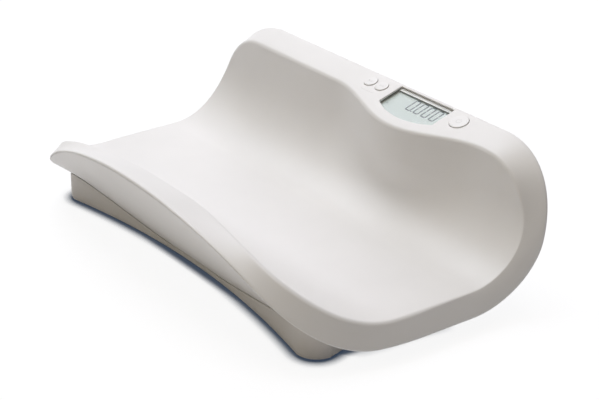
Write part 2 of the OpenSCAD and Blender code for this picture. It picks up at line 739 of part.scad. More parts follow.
gauge_hole = 0.72 * cell_w;
module load_cell() color("#c7cace") difference() {
    translate([-cell_l / 2, -cell_w / 2, cell_z]) cube([cell_l, cell_w, cell_w]);
    for (x = [-1, 1]) translate([x * gauge_hole * 0.6, cell_w, cell_z + cell_w / 2])
        rotate([90, 0, 0]) cylinder(d = gauge_hole, h = 2 * cell_w);
    for (x = cell_spots) translate([x, 0, cell_z + cell_w - 9])
        cylinder(d = cell_screw_d + bore_gap, h = 10);
    for (x = cell_spots) translate([-x, 0, cell_z - 1])
        cylinder(d = cell_screw_d + bore_gap, h = 10);
}

gauge_t = 1;
module gauge_coating() color("#e9e4d8") for (z = [cell_z - gauge_t - seat, cell_z + cell_w + seat])
    translate([-gauge_hole, -cell_w / 2 + 1, z]) cube([2 * gauge_hole, cell_w - 2, gauge_t]);

module cell_top_screws() color(steel) for (x = cell_spots) translate([x, 0, 0]) {
    translate([0, 0, frame_z + seat])
        cylinder(d1 = cell_screw_d, d2 = cell_screw_d * 2, h = frame_t - seat);
    translate([0, 0, cell_z + cell_w - 8]) cylinder(d = cell_screw_d, h = 8 + spacer_t + 1);
}

plate_z = base_lift + base_floor;
plate_top = plate_z + plate_t;
module cell_pedestal() color(steel) difference() {
    translate([ped_x - cell_end / 2, -cell_w / 2 - 2, plate_top])
        cube([cell_end, cell_w + 4, cell_z - plate_top]);
    for (x = cell_spots) translate([-x, 0, plate_z])
        cylinder(d = cell_screw_d + bore_gap, h = cell_z);
}

module cell_base_screws() color(steel) for (x = cell_spots) translate([-x, 0, plate_z]) {
    translate([0, 0, seat]) cylinder(d1 = cell_screw_d * 2, d2 = cell_screw_d, h = plate_t - seat);
    translate([0, 0, 1]) cylinder(d = cell_screw_d, h = cell_z + 7 - plate_z);
}

plate_half_x = 90;
plate_half_y = 60;
plate_hole_d = 24;
PLATE_HOLES = [for (x = [-60, 20, 55], y = [-32, 32]) [x, y]];
PLATE_SPOTS = [for (x = [-1, 1], y = [-1, 1]) [x * (plate_half_x - 10), y * (plate_half_y - 10)]];
module base_plate() color(steel) difference() {
    translate([0, 0, plate_z]) plate(plate_half_x, plate_half_y, frame_r, plate_t);
    for (x = cell_spots) translate([-x, 0, plate_z]) {
        translate([0, 0, -1]) cylinder(d = cell_screw_d + bore_gap, h = plate_t + 2);
        cylinder(d1 = cell_screw_d * 2 + bore_gap, d2 = cell_screw_d + bore_gap, h = plate_t);
    }
    for (p = PLATE_SPOTS) translate([p[0], p[1], plate_z - 1])
        cylinder(d = pilot_d + bore_gap, h = plate_t + 2);
    for (p = PLATE_HOLES) translate([p[0], p[1], plate_z - 1])
        cylinder(d = plate_hole_d, h = plate_t + 2);
}

// Depth of a countersunk head
sink_t = 1.5;
module plate_screws() color(steel) for (p = PLATE_SPOTS) translate([p[0], p[1], base_lift]) {
    translate([0, 0, seat]) cylinder(d1 = head_d, d2 = pilot_d, h = sink_t);
    translate([0, 0, sink_t / 2])
        cylinder(d = pilot_d, h = base_floor + plate_t - sink_t / 2 - bore_gap);
}

// ---- base -----------------------------------------------------------------------------------

// One edge of the base from its corner to its other corner, drawn in at its middle
WAIST_STEPS = 12;
CORNER_STEPS = 6;
function drawn(n) = [for (i = [0:n]) let(u = 2 * i / n - 1) [u, 1 - u * u]];
function base_line(t) =
    let(hx = base_w / 2 - t, back = base_back - t, front = base_front - t, r = base_r - t,
        my = (back - front) / 2, hy = (back + front) / 2)
    concat(
        [for (e = drawn(WAIST_STEPS)) [e[0] * (hx - r), back - base_waist * e[1]]],
        [for (i = [1:CORNER_STEPS - 1]) let(a = 90 - 90 * i / CORNER_STEPS)
            [hx - r + r * cos(a), back - r + r * sin(a)]],
        [for (e = drawn(WAIST_STEPS)) [hx - base_end_waist * e[1], my - e[0] * (hy - r)]],
        [for (i = [1:CORNER_STEPS - 1]) let(a = -90 * i / CORNER_STEPS)
            [hx - r + r * cos(a), r - front + r * sin(a)]],
        [for (e = drawn(WAIST_STEPS)) [-e[0] * (hx - r), base_waist * e[1] - front]],
        [for (i = [1:CORNER_STEPS - 1]) let(a = -90 - 90 * i / CORNER_STEPS)
            [r - hx + r * cos(a), r - front + r * sin(a)]],
        [for (e = drawn(WAIST_STEPS)) [base_end_waist * e[1] - hx, my + e[0] * (hy - r)]],
        [for (i = [1:CORNER_STEPS - 1]) let(a = 180 - 90 * i / CORNER_STEPS)
            [r - hx + r * cos(a), back - r + r * sin(a)]]);

FEET = [for (x = [-1, 1], y = [base_back - foot_in_y, foot_in_y - base_front])
    [x * (base_w / 2 - foot_in_x), y]];
foot_h = base_lift + 1.2;
foot_stem = 8;
rib_t = 2;
rib_top = plate_z + 2.8;
// More than the height of the base's walls, which the room of the belly trims
base_rise = 50;
access_x = 3;
access_y = 14;

module rib(a, b) let(d = b - a) translate([a[0], a[1], plate_z - 0.5])
    rotate([0, 0, atan2(d[1], d[0])]) translate([0, -rib_t / 2, 0])
        cube([norm(d), rib_t, rib_top - plate_z + 0.5]);

module base_shell() color(white) difference() {
    translate([0, 0, base_lift]) linear_extrude(base_rise) polygon(base_line(0));
    difference() {
        translate([0, 0, plate_z]) linear_extrude(base_rise) polygon(base_line(base_t));
        for (p = FEET) translate([p[0], p[1], base_lift]) cylinder(d = foot_d + 6, h = 4.5);
        for (p = FEET) rib([sign(p[0]) * (plate_half_x + 2), sign(p[1]) * (plate_half_y - 20)], p);
        for (y = [-1, 1])
            rib([-plate_half_x - 20, y * (plate_half_y + 4)], [plate_half_x, y * (plate_half_y + 4)]);
    }
    belly_room(weigh_gap, plate_z + base_rise);
    for (p = FEET) translate([p[0], p[1], 0]) {
        cylinder(d = foot_d + 0.6, h = foot_h);
        cylinder(d = foot_stem + bore_gap, h = base_rise);
    }
    for (p = PLATE_SPOTS) translate([p[0], p[1], base_lift]) {
        translate([0, 0, -1]) cylinder(d = pilot_d + bore_gap, h = base_floor + 2);
        cylinder(d1 = head_d + bore_gap, d2 = pilot_d + bore_gap, h = sink_t + seat);
    }
    translate([tub_left - access_x, -door_y - access_y, 0])
        cube([tub_right - tub_left + 2 * access_x, 2 * (door_y + access_y), base_rise]);
}

stop_d = 10;
STOPS = [for (x = [-1, 1], y = [-1, 1]) [x * (plate_half_x - 15), y * (plate_half_y - 15)]];
module overload_stops() color(dark) for (p = STOPS) translate([p[0], p[1], plate_top])
    cylinder(d = stop_d, h = belly_h - stop_gap - plate_top);

module rubber_feet() color(dark) for (p = FEET) translate([p[0], p[1], 0]) {
    rotate_extrude() polygon([[0, 0], [foot_d / 2 - 1, 0], [foot_d / 2, 1], [foot_d / 2, foot_h - seat],
        [0, foot_h - seat]]);
    translate([0, 0, 1]) cylinder(d = foot_stem, h = foot_h + 3.3);
}

// ---- batteries --------------------------------------------------------------------------------

cells_x = [for (i = [0:batteries - 1]) bay_x + (i - (batteries - 1) / 2) * cells_pitch];
tub_in_y = door_y + ease;
tub_ceiling = cells_z + cell_d / 2 + ease;
module battery_tub() color("#dcdcda") difference() {
    translate([tub_left - tub_t, -tub_in_y - tub_t, belly_top])
        cube([tub_right - tub_left + 2 * tub_t, 2 * (tub_in_y + tub_t),
            tub_ceiling + tub_t - belly_top]);
    translate([tub_left, -tub_in_y, belly_top - 1])
        cube([tub_right - tub_left, 2 * tub_in_y, cells_z - belly_top + 2]);
    for (x = cells_x) translate([x, tub_in_y, cells_z]) rotate([90, 0, 0])
        cylinder(d = cell_d + 2 * ease, h = 2 * tub_in_y);
}

module battery_door() color(white) {
    translate([bay_x - door_x, -door_y, belly_h]) cube([2 * door_x, 2 * door_y, door_t]);
    for (y = [-1, 1]) translate([bay_x - door_x - tongue_run, y * 16 - 4, belly_top + 0.2])
        cube([tongue_run + 3, 8, tongue_t]);
    for (y = [-1, 1]) translate([bay_x - door_x, y * 16 - 4, belly_h + 1]) cube([3, 8, belly_t]);
    for (y = [-9, 0, 9]) translate([bay_x - door_x / 2, y - 0.6, belly_h - 0.6])
        cube([door_x, 1.2, 1]);
}

module battery_cells() color("#4b5a66") for (i = [0:batteries - 1])
    translate([cells_x[i], 0, cells_z]) rotate([i % 2 == 0 ? 90 : -90, 0, 0]) {
        translate([0, 0, -battery_l / 2]) cylinder(d = cell_d, h = battery_l - 1);
        cylinder(d = 5.5, h = battery_l / 2);
    }

spring_wire = 0.8;
contact_w = 9;
contact_h = 10;
contact_t = 0.4;
module battery_contacts() color(steel) for (i = [0:batteries - 1]) let(s = i % 2 == 0 ? 1 : -1)
    translate([cells_x[i], 0, cells_z]) rotate([s * 90, 0, 0]) {
        translate([-contact_w / 2, -contact_h / 2, tub_in_y - contact_t - seat])
            cube([contact_w, contact_h, contact_t]);
        translate([0, 0, battery_l / 2 + 0.1])
            cylinder(d = 4, h = tub_in_y - battery_l / 2 - 0.3);
        translate([-contact_w / 2, -contact_h / 2, seat - tub_in_y])
            cube([contact_w, contact_h, contact_t]);
        for (k = [0:2]) translate([0, 0, -tub_in_y + 0.8 + k * 0.6]) rotate_extrude()
            translate([4.4 - 0.5 * k, 0]) circle(d = spring_wire, $fn = 16);
    }

// ---- leads inside the housing ---------------------------------------------------------------

// Routes, picked by hand: from the load cell and from the battery tub, over the belly,
// up the hollow back wall and to the plugs under the board. Each point is its place
// along x, and its share of the way back and of the way up.
cell_exit = [cell_w / 2 + 0.65, cell_z + cell_w / 2];
tub_exit = [tub_in_y + tub_t + 0.5, cells_z - 0.5];
function under_board(v, w) = let(c = cos(ledge_tilt), n = sin(ledge_tilt))
    [window_y + v * c - (board_top + w) * n, ledge_z(window_y) + v * n + (board_top + w) * c];
CELL_WAY = [[8, 0, 0], [8, 0.05, 0.01], [9, 0.14, -0.01], [10, 0.27, -0.02], [11, 0.39, -0.01],
    [12, 0.53, 0.05], [13, 0.64, 0.14], [14, 0.75, 0.26], [14, 0.84, 0.42], [14, 0.91, 0.59],
    [14, 0.97, 0.77], [14, 0.99, 0.92], [14, 1, 1]];
BATTERY_WAY = [[112, 0, 0], [112, 0.08, 0], [111, 0.2, 0], [110, 0.34, 0.02], [110, 0.48, 0.07],
    [111, 0.63, 0.15], [112, 0.76, 0.28], [112, 0.87, 0.44], [112, 0.95, 0.62], [112, 0.97, 0.81],
    [111.5, 0.99, 0.94], [111.5, 1, 1]];
// The leads' plugs, down the slope and below the board's top
CELL_PLUG = under_board(-24.8, -6.95);
BATTERY_PLUG = under_board(-36.65, -8.05);
function laid(way, a, b) = [for (p = way) [p[0], mix(a[0], b[0], p[1]), mix(a[1], b[1], p[2])]];
lead_d = 2.6;
ROUND = 8;
function between(a, b, c, d, t) = 0.5 * (2 * b + (c - a) * t
    + (2 * a - 5 * b + 4 * c - d) * t * t + (3 * b - a - 3 * c + d) * t * t * t);
function smooth(r, n) = let(m = len(r) - 1) concat(
    [for (i = [0:m - 1], k = [0:n - 1])
        between(r[max(0, i - 1)], r[i], r[i + 1], r[min(m, i + 2)], k / n)],
    [r[m]]);
module lead(route, d) let(r = smooth(route, 2), m = len(r) - 1)
    ring_solid([for (i = [0:m])
        let(t = unit(r[min(m, i + 1)] - r[max(0, i - 1)]),
            u = unit(cross(t, [1, 0, 0])), v = cross(t, u))
        [for (k = [0:ROUND - 1])
            r[i] + (u * cos(360 * k / ROUND) + v * sin(360 * k / ROUND)) * d / 2]], false);
module cell_lead() color("#c9c9c6") lead(laid(CELL_WAY, cell_exit, CELL_PLUG), lead_d);
module battery_lead() color("#a33c36") lead(laid(BATTERY_WAY, tub_exit, BATTERY_PLUG), lead_d);

upper_shell();
lower_shell();
display_lens();
print_strip();
lcd_cell();
lcd_holder();
zebra_strip();
main_board();
board_parts();
board_screws();
buzzer();
key_left();
key_right();
key_power();
dome_left();
dome_right();
dome_power();
tray_frame();
frame_screws();
case_screws();
load_cell();
gauge_coating();
cell_spacer();
cell_top_screws();
cell_pedestal();
cell_base_screws();
base_plate();
plate_screws();
base_shell();
overload_stops();
rubber_feet();
battery_tub();
battery_door();
battery_cells();
battery_contacts();
cell_lead();
battery_lead();
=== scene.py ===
"""Digital baby weighing scale: the finish and the smooth skins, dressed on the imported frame.

The shells are drawn by the rules that the construction follows: a cradle section and a
rim section, both swept along X, with the rims drawn on the unrolled sections. Sizes are
in millimetres, and MM turns them into metres where a mesh is made.
"""
import bmesh
import bpy
import math
from mathutils import Matrix, Vector
from mathutils.bvhtree import BVHTree


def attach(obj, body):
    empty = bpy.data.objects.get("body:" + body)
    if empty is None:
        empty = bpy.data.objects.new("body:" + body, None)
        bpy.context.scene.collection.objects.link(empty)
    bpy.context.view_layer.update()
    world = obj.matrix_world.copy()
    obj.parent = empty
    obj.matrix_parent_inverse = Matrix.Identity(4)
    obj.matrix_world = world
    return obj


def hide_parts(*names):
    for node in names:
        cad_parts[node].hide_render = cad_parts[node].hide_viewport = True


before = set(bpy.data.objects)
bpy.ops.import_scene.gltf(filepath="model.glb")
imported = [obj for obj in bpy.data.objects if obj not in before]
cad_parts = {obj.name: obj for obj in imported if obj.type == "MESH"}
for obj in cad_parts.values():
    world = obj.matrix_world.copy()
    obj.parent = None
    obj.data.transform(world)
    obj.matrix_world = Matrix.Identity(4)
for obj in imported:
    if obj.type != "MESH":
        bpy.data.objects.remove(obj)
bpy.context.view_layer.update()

MM = 0.001

# ---- sizes, as in the construction -----------------------------------------------

HALF_W, HALF_D, TRAY_H = 276.0, 166.0, 156.0
SHELL_T, BELLY_T = 2.8, 2.5
LYING_H, END_INSET = 39.0, 12.0
FLOOR_FRONT, BACK_R, BACK_TURN = 37.0, 71.0, 88.0
FRONT_R, FRONT_TURN = 112.0, 63.0
LEDGE_RUN, LEDGE_TILT = 37.0, 17.0
SWELL, SWELL_HALF, SWELL_FOOT = 24.0, 118.0, 0.45
LIP_H, LIP_POINT, LIP_IN_H = 123.0, 3.0, 101.0
PINCH, PINCH_FLAT, PINCH_END = 19.5, 31.0, 203.0
IN_BACK, IN_FRONT = (70.0, 103.0), (146.0, 146.0)
OUT_BACK, OUT_FRONT_S = (90.0, 100.0), 230.0
SQUARENESS, ARCH = 2.2, 2.5
EDGE_IN_R, EDGE_OUT_R = 5.0, 2.0
RIM_LOW, RIM_BACK, RIM_BACK_R, RIM_FRONT, RIM_FRONT_R = 16.5, 55.0, 90.0, 57.0, 103.0
BELLY_H, BELLY_X, BELLY_FRONT, BELLY_BACK, BELLY_R = 9.0, 212.0, 91.0, 72.0, 42.0
PART_GAP = 0.4
BASE_W, BASE_FRONT, BASE_BACK = 468.0, 113.0, 108.0
BASE_WAIST, BASE_END_WAIST, BASE_R, BASE_T = 23.0, 12.0, 23.0, 3.0
BASE_LIFT, BASE_FLOOR, WEIGH_GAP = 2.0, 2.5, 0.9
FOOT_D, FOOT_IN = 24.0, (26.0, 27.0)
DISPLAY_X, WINDOW_W, WINDOW_SIDE, WINDOW_SAG, WINDOW_MARGIN = 72.0, 84.5, 32.0, 10.8, 5.2
RECESS, LENS_T = 3.0, 1.5
KEY_D, KEY_PITCH, KEYS_LEFT = 15.0, 18.3, 70.0
POWER_D, POWER_RIGHT, KEY_BACK, KEY_PROUD = 20.8, 63.0, 17.4, 1.2

IN_X = HALF_W - END_INSET
WALL_Y = HALF_D - LEDGE_RUN


# ---- small vector tools --------------------------------------------------------------

def sin(a):
    return math.sin(math.radians(a))


def cos(a):
    return math.cos(math.radians(a))


def tan(a):
    return math.tan(math.radians(a))


def ramp(t):
    """Smooth step from 0 to 1."""
    c = min(1.0, max(0.0, t))
    return c * c * (3 - 2 * c)


def mix(a, b, t):
    return a * (1 - t) + b * t


# ---- sections ------------------------------------------------------------------------

def arc_len(r, turn):
    return math.radians(turn) * r


def rise(a, r, turn):
    """Run and height after a distance a along an arc that ends in a straight wall."""
    t = min(turn, math.degrees(a / r))
    e = max(0.0, a - arc_len(r, turn))
    return r * sin(t) + e * cos(turn), r * (1 - cos(t)) + e * sin(turn)


def section(s, c):
    low, back, back_r, back_turn, front, front_r, front_turn = c
    if s > back:
        y, z = rise(s - back, back_r, back_turn)
        return back + y, low + z
    if s < -front:
        y, z = rise(-front - s, front_r, front_turn)
        return -front - y, low + z
    return s, low


def turn_to(dy, dz, r):
    return math.degrees(math.atan2(dz, dy) + math.asin(r / math.hypot(dy, dz)))


def wall_left(h, low, r, turn):
    return (h - low - r * (1 - cos(turn))) / sin(turn)


FLOOR_BACK = WALL_Y - BACK_R * sin(BACK_TURN)
CRADLE = (LYING_H, FLOOR_BACK, BACK_R, BACK_TURN, FLOOR_FRONT, FRONT_R, FRONT_TURN)
RIM_BACK_TURN = turn_to(HALF_D - RIM_BACK, TRAY_H - RIM_LOW - RIM_BACK_R, RIM_BACK_R)
RIM_FRONT_TURN = turn_to(HALF_D + LIP_POINT - RIM_FRONT, LIP_H - RIM_LOW - RIM_FRONT_R, RIM_FRONT_R)
RIM = (RIM_LOW, RIM_BACK, RIM_BACK_R, RIM_BACK_TURN, RIM_FRONT, RIM_FRONT_R, RIM_FRONT_TURN)
WALL_S = FLOOR_BACK + arc_len(BACK_R, BACK_TURN)
LIP_S = (-FLOOR_FRONT - arc_len(FRONT_R, FRONT_TURN)
         - wall_left(LIP_IN_H, LYING_H, FRONT_R, FRONT_TURN))
RIM_TOP = (RIM_BACK + arc_len(RIM_BACK_R, RIM_BACK_TURN)
           + wall_left(TRAY_H, RIM_LOW, RIM_BACK_R, RIM_BACK_TURN))
RIM_LIP = (-RIM_FRONT - arc_len(RIM_FRONT_R, RIM_FRONT_TURN)
           - wall_left(LIP_H, RIM_LOW, RIM_FRONT_R, RIM_FRONT_TURN))


# ---- cradle surface ------------------------------------------------------------------

def swell_at(x):
    d = abs(x - DISPLAY_X) / SWELL_HALF
    return SWELL * cos(90 * d) ** 2 if d < 1 else 0.0


def pinch_at(x):
    return PINCH * (1 - ramp((abs(x) - PINCH_FLAT) / (PINCH_END - PINCH_FLAT)))


def cradle(p):
    x, s = p
    y, z = section(s, CRADLE)
    foot = mix(FLOOR_BACK, WALL_S, SWELL_FOOT)
    y -= swell_at(x) * ramp((s - foot) / (WALL_S - foot))
    y += pinch_at(x) * ramp((-FLOOR_FRONT - s) / (-FLOOR_FRONT - LIP_S))
    return Vector((x, y, z))


def cradle_normal(p):
    x, s = p
    across = cradle((x + 1, s)) - cradle((x - 1, s))
    along = cradle((x, s + 1)) - cradle((x, s - 1))
    return across.cross(along).normalized()


def ledge_z(y):
    return TRAY_H - (HALF_D - y) * tan(LEDGE_TILT)


def ledge_s(x):
    y, z = section(WALL_S, CRADLE)
    y -= swell_at(x)
    return WALL_S + (ledge_z(y) - z) / (sin(BACK_TURN) - cos(BACK_TURN) * tan(LEDGE_TILT))


# ---- rims ----------------------------------------------------------------------------

STEPS = (90, 56, 16, 64, 48)
HALF_RIM = [(g, i / n) for g, n in enumerate(STEPS) for i in range(n)]
MIRRORED = [(g, t + 1 / STEPS[g]) for g, t in reversed(HALF_RIM)]
PLACES = [(g, t, 1) for g, t in HALF_RIM] + [(g, t, -1) for g, t in MIRRORED]
COUNT = len(PLACES)


def power(v, p):
    return max(0.0, v) ** p


def corner_sin(t):
    return power(sin(90 * t), 2 / SQUARENESS)


def corner_cos(t):
    return power(cos(90 * t), 2 / SQUARENESS)


def in_place(q):
    g, t, side = q
    if g == 0:
        x = t * (IN_X - IN_BACK[0])
    elif g == 1:
        x = IN_X - IN_BACK[0] + IN_BACK[0] * corner_sin(t)
    elif g == 2:
        x = IN_X
    elif g == 3:
        x = IN_X - IN_FRONT[0] + IN_FRONT[0] * corner_cos(t)
    else:
        x = (1 - t) * (IN_X - IN_FRONT[0])
    top = ledge_s(side * x)
    if g == 0:
        s = top
    elif g == 1:
        s = top - IN_BACK[1] * (1 - corner_cos(t))
    elif g == 2:
        s = mix(top - IN_BACK[1], LIP_S + IN_FRONT[1], t)
    elif g == 3:
        s = LIP_S + IN_FRONT[1] * (1 - corner_sin(t))
    else:
        s = LIP_S
    return Vector((side * x, s))


def out_rim(q):
    g, t, side = q
    if g == 0:
        x, s = t * (HALF_W - OUT_BACK[0]), RIM_TOP
    elif g == 1:
        x = HALF_W - OUT_BACK[0] + OUT_BACK[0] * corner_sin(t)
        s = RIM_TOP - OUT_BACK[1] * (1 - corner_cos(t))
    elif g == 2:
        x, s = HALF_W, mix(RIM_TOP - OUT_BACK[1], RIM_LIP + OUT_FRONT_S, t)
    else:
        x = abs(in_place(q)[0]) * HALF_W / IN_X
        s = RIM_LIP + OUT_FRONT_S * (1 - power(1 - (x / HALF_W) ** 2, 1 / ARCH))
    y, z = section(s, RIM)
    return Vector((side * x, y, z))


def flat_place(q, hx, back, front, r):
    """A place on a rounded rectangle, at the same share of the way round as q."""
    g, t, side = q
    if g == 0:
        p = (t * (hx - r), back)
    elif g == 1:
        p = (hx - r + r * sin(90 * t), back - r + r * cos(90 * t))
    elif g == 2:
        p = (hx, mix(back - r, r - front, t))
    elif g == 3:
        p = (hx - r + r * cos(90 * t), r - front - r * sin(90 * t))
    else:
        p = ((1 - t) * (hx - r), -front)
    return Vector((side * p[0], p[1]))


FLAT_MARGIN = 6.0


def floor_place(q):
    return flat_place(q, IN_X - IN_FRONT[0] / 2, FLOOR_BACK - FLAT_MARGIN,
                      FLOOR_FRONT - FLAT_MARGIN, FLOOR_FRONT - 2 * FLAT_MARGIN)


def half_angle(a, b):
    return math.acos(max(-1, min(1, a.dot(b)))) / 2


def edge_len(a, b, r):
    return r / math.tan(half_angle(a, b))


def edge(p, a, b, r, n):
    """Rounded edge between two directions that leave the corner p."""
    mid = p + (a + b).normalized() * r / math.sin(half_angle(a, b))
    u = (p + a * edge_len(a, b, r) - mid).normalized()
    v = (p + b * edge_len(a, b, r) - mid).normalized()
    w = math.acos(max(-1, min(1, u.dot(v))))
    return [mid + r * (u * math.sin(w * (1 - i / n)) + v * math.sin(w * i / n)) / math.sin(w)
            for i in range(n + 1)]


# ---- belly surface -------------------------------------------------------------------

def fullness(q):
    return 1.0 if q[0] < 2 else 0.0 if q[0] > 2 else 1 - ramp(q[1])


def belly_ends(q):
    f = fullness(q)
    o = out_rim(q)
    foot = flat_place(q, BELLY_X, BELLY_BACK, BELLY_FRONT, BELLY_R)
    b = Vector((foot[0], foot[1], BELLY_H))
    flat = mix(o, b, 0.5 - 0.3 * f)
    return o, Vector((flat[0], flat[1], mix(b[2], o[2], 0.5 - 0.44 * f))), b


ENDS = [belly_ends(q) for q in PLACES]


def belly(i, t):
    o, k, b = ENDS[i % COUNT]
    return o * (1 - t) ** 2 + k * 2 * t * (1 - t) + b * t * t


def belly_normal(i, t):
    d = 0.01
    down = belly(i, min(1, t + d)) - belly(i, max(0, t - d))
    return down.cross(belly(i + 1, t) - belly(i - 1, t)).normalized()


def belly_share(i, more=0.0):
    o = ENDS[i % COUNT][0]
    under = (belly(i, 0.03) - o).normalized()
    band = (cradle(in_place(PLACES[i % COUNT])) - o).normalized()
    run = edge_len(band, under, EDGE_OUT_R) + PART_GAP + more
    return run / (belly(i, 0.1) - o).length * 0.1


# ---- meshes from rings ---------------------------------------------------------------

SHARP_ANGLE = 32.0


def add_mesh(name, points, faces):
    """A mesh piece from points in millimetres, shaded smooth except at sharp edges."""
    mesh = bpy.data.meshes.new(name)
    mesh.from_pydata([tuple(Vector(p) * MM) for p in points], [], faces)
    obj = bpy.data.objects.new(name, mesh)
    bpy.context.scene.collection.objects.link(obj)
    return finish_mesh(obj)


def finish_mesh(obj, merge=1e-6):
    bm = bmesh.new()
    bm.from_mesh(obj.data)
    bmesh.ops.remove_doubles(bm, verts=bm.verts, dist=merge)
    bmesh.ops.dissolve_degenerate(bm, edges=bm.edges, dist=merge)
    bmesh.ops.recalc_face_normals(bm, faces=bm.faces)
    limit = math.radians(SHARP_ANGLE)
    for face in bm.faces:
        face.smooth = True
    for e in bm.edges:
        e.smooth = len(e.link_faces) == 2 and e.calc_face_angle(0) < limit
    bm.to_mesh(obj.data)
    bm.free()
    return obj


def ring_faces(rings, n):
    return [(j * n + i, j * n + (i + 1) % n, (j + 1) * n + (i + 1) % n, (j + 1) * n + i)
            for j in range(rings - 1) for i in range(n)]


def rings_to_piece(name, spokes):
    """A closed piece from spokes that share their first point and their last."""
    n = len(spokes)
    rings = len(spokes[0])
    points = [spokes[i][j] for j in range(rings) for i in range(n)]
    return add_mesh(name, points, ring_faces(rings, n))


FLOOR_RINGS, WALL_RINGS, BAND_RINGS, BELLY_RINGS = 5, 44, 8, 36
IN_STEPS, OUT_STEPS = 9, 5
FLOOR_MID_Y = 10.0


def tray_spoke(i):
    q = PLACES[i]
    p, f = in_place(q), floor_place(q)
    a, o = cradle(p), out_rim(q)
    belly_dir = (belly(i, 0.03) - o).normalized()
    step = cradle(mix(p, f, 0.01)) - a
    down = step.normalized()
    band = (o - a).normalized()
    first = edge_len(down, band, EDGE_IN_R) / step.length * 0.01
    walls = [mix(p, f, mix(first, 1, (k / WALL_RINGS) ** 1.15)) for k in range(1, WALL_RINGS + 1)]
    inner = a + (down + band).normalized() * SHELL_T / math.sin(half_angle(down, band))
    tip = o + belly_dir * edge_len(-band, belly_dir, EDGE_OUT_R)
    side = (belly_dir - band).normalized()
    inward = (side - belly_dir * side.dot(belly_dir)).normalized()
    floor = cradle(walls[-1])
    mid = Vector((0, FLOOR_MID_Y, LYING_H))
    under = [cradle(w) - cradle_normal(w) * SHELL_T for w in walls[1::3]]
    in_edge = edge(a, down, band, EDGE_IN_R, IN_STEPS)
    out_edge = edge(o, -band, belly_dir, EDGE_OUT_R, OUT_STEPS)
    bands = [mix(in_edge[-1], out_edge[0], k / BAND_RINGS) for k in range(1, BAND_RINGS)]
    low = Vector((0, 0, SHELL_T))
    return ([mix(mid, floor, k / FLOOR_RINGS) for k in range(FLOOR_RINGS)]
            + [cradle(w) for w in reversed(walls)] + in_edge + bands + out_edge
            + [tip + inward * SHELL_T, inner] + under + [mix(floor, mid, 0.5) - low, mid - low])


def belly_spoke(i):
    t0 = belly_share(i)
    ts = [mix(t0, 1, (k / BELLY_RINGS)) for k in range(BELLY_RINGS + 1)]
    outer = [belly(i, t) for t in reversed(ts)]
    inner = []
    for k in range(0, BELLY_RINGS, 3):
        t = belly_share(i, 2.4) if k == 0 else ts[k]
        inner.append(belly(i, t) + belly_normal(i, t) * BELLY_T)
    foot = ENDS[i][2]
    mid = Vector((0, 0, BELLY_H))
    up = Vector((0, 0, BELLY_T))
    soft = mix(outer[-1], inner[0], 0.12) + (outer[-1] - outer[-2]).normalized() * 0.12
    return [mid, mix(mid, foot, 0.5)] + outer + [soft] + inner + [foot + up, mid + up]


def ledge_matrix(x):
    """Frame on the ledge at x: its origin at the window's back edge, Y up the slope."""
    y = HALF_D - WINDOW_MARGIN
    place = Matrix.Translation(Vector((x, y, ledge_z(y))) * MM)
    return place @ Matrix.Rotation(math.radians(LEDGE_TILT), 4, "X")


KEY_V = -(KEY_BACK - WINDOW_MARGIN) / cos(LEDGE_TILT)
LEFT_X = DISPLAY_X - KEYS_LEFT - KEY_PITCH / 2
RIGHT_X = LEFT_X + KEY_PITCH
POWER_X = DISPLAY_X + POWER_RIGHT
KEYS = {"key_left": (LEFT_X, KEY_D), "key_right": (RIGHT_X, KEY_D), "key_power": (POWER_X, POWER_D)}

# Bosses: for the tray's frame, for the screws of the case, and for the board
FRAME_TOP, POST_Z, HEAD_Z, BOARD_TOP = 32.2, 16.0, 13.5, -9.95
FRAME_SPOTS = [(x, y) for x in (-80, 0, 80) for y in (-33, 33)]
CASE_SPOTS = [(x, y) for x in (-198, 198) for y in (-35, 35)] + [
    (x, y) for x in (-60, 60) for y in (-70, 60)]
BOARD_SPOTS = [(LEFT_X - 11, -24), (RIGHT_X + 10, -25), (POWER_X - 13.5, -26), (POWER_X + 12, -25)]
PLATE_SPOTS = [(x, y) for x in (-80, 80) for y in (-50, 50)]

# Openings, as (low, high) corners: in the belly for the batteries and for the load cell's
# pedestal, and in the base for the battery door
BELLY_OPENINGS = [((107.9, -27.95), (177.1, 27.95)), ((-44, -13.35), (-12, 13.35))]
ACCESS = ((98.6, -41.65), (180.4, 41.65))
# Radii of the case screws' ways and posts, and of the plate screws' ways
HEAD_R, BORE_R, POST_R = 3.1, 1.7, 5.0
PLATE_HEAD_R, PLATE_BORE_R = 2.9, 1.6
# The feet: their sockets in the base, and their pegs
SOCKET_R, SOCKET_TOP, PEG_WAY_R, PEG_R, PEG_TOP, FOOT_TOP = 12.3, 3.2, 4.1, 4.0, 7.4, 3.1


def on_ledge(obj, x, v=0.0):
    """Moves a piece that was drawn in the ledge's frame to its place on the ledge."""
    obj.data.transform(ledge_matrix(x) @ Matrix.Translation((0, v * MM, 0)))
    return obj


def revolve(name, profile, n=96):
    """A piece turned about Z from a profile of (radius, height)."""
    points = [(r * cos(360 * i / n), r * sin(360 * i / n), z) for r, z in profile for i in range(n)]
    return add_mesh(name, points, ring_faces(len(profile), n))


def prism(name, outline_at, levels):
    """A piece from outlines stacked at heights: levels is a list of (grow, height)."""
    loops = [outline_at(grow) for grow, z in levels]
    n = len(loops[0])
    points = [(x, y, z) for loop, (grow, z) in zip(loops, levels) for x, y in loop]
    faces = ring_faces(len(levels), n)
    faces.append(tuple(range(n)))
    faces.append(tuple((len(levels) - 1) * n + i for i in range(n)))
    return add_mesh(name, points, faces)


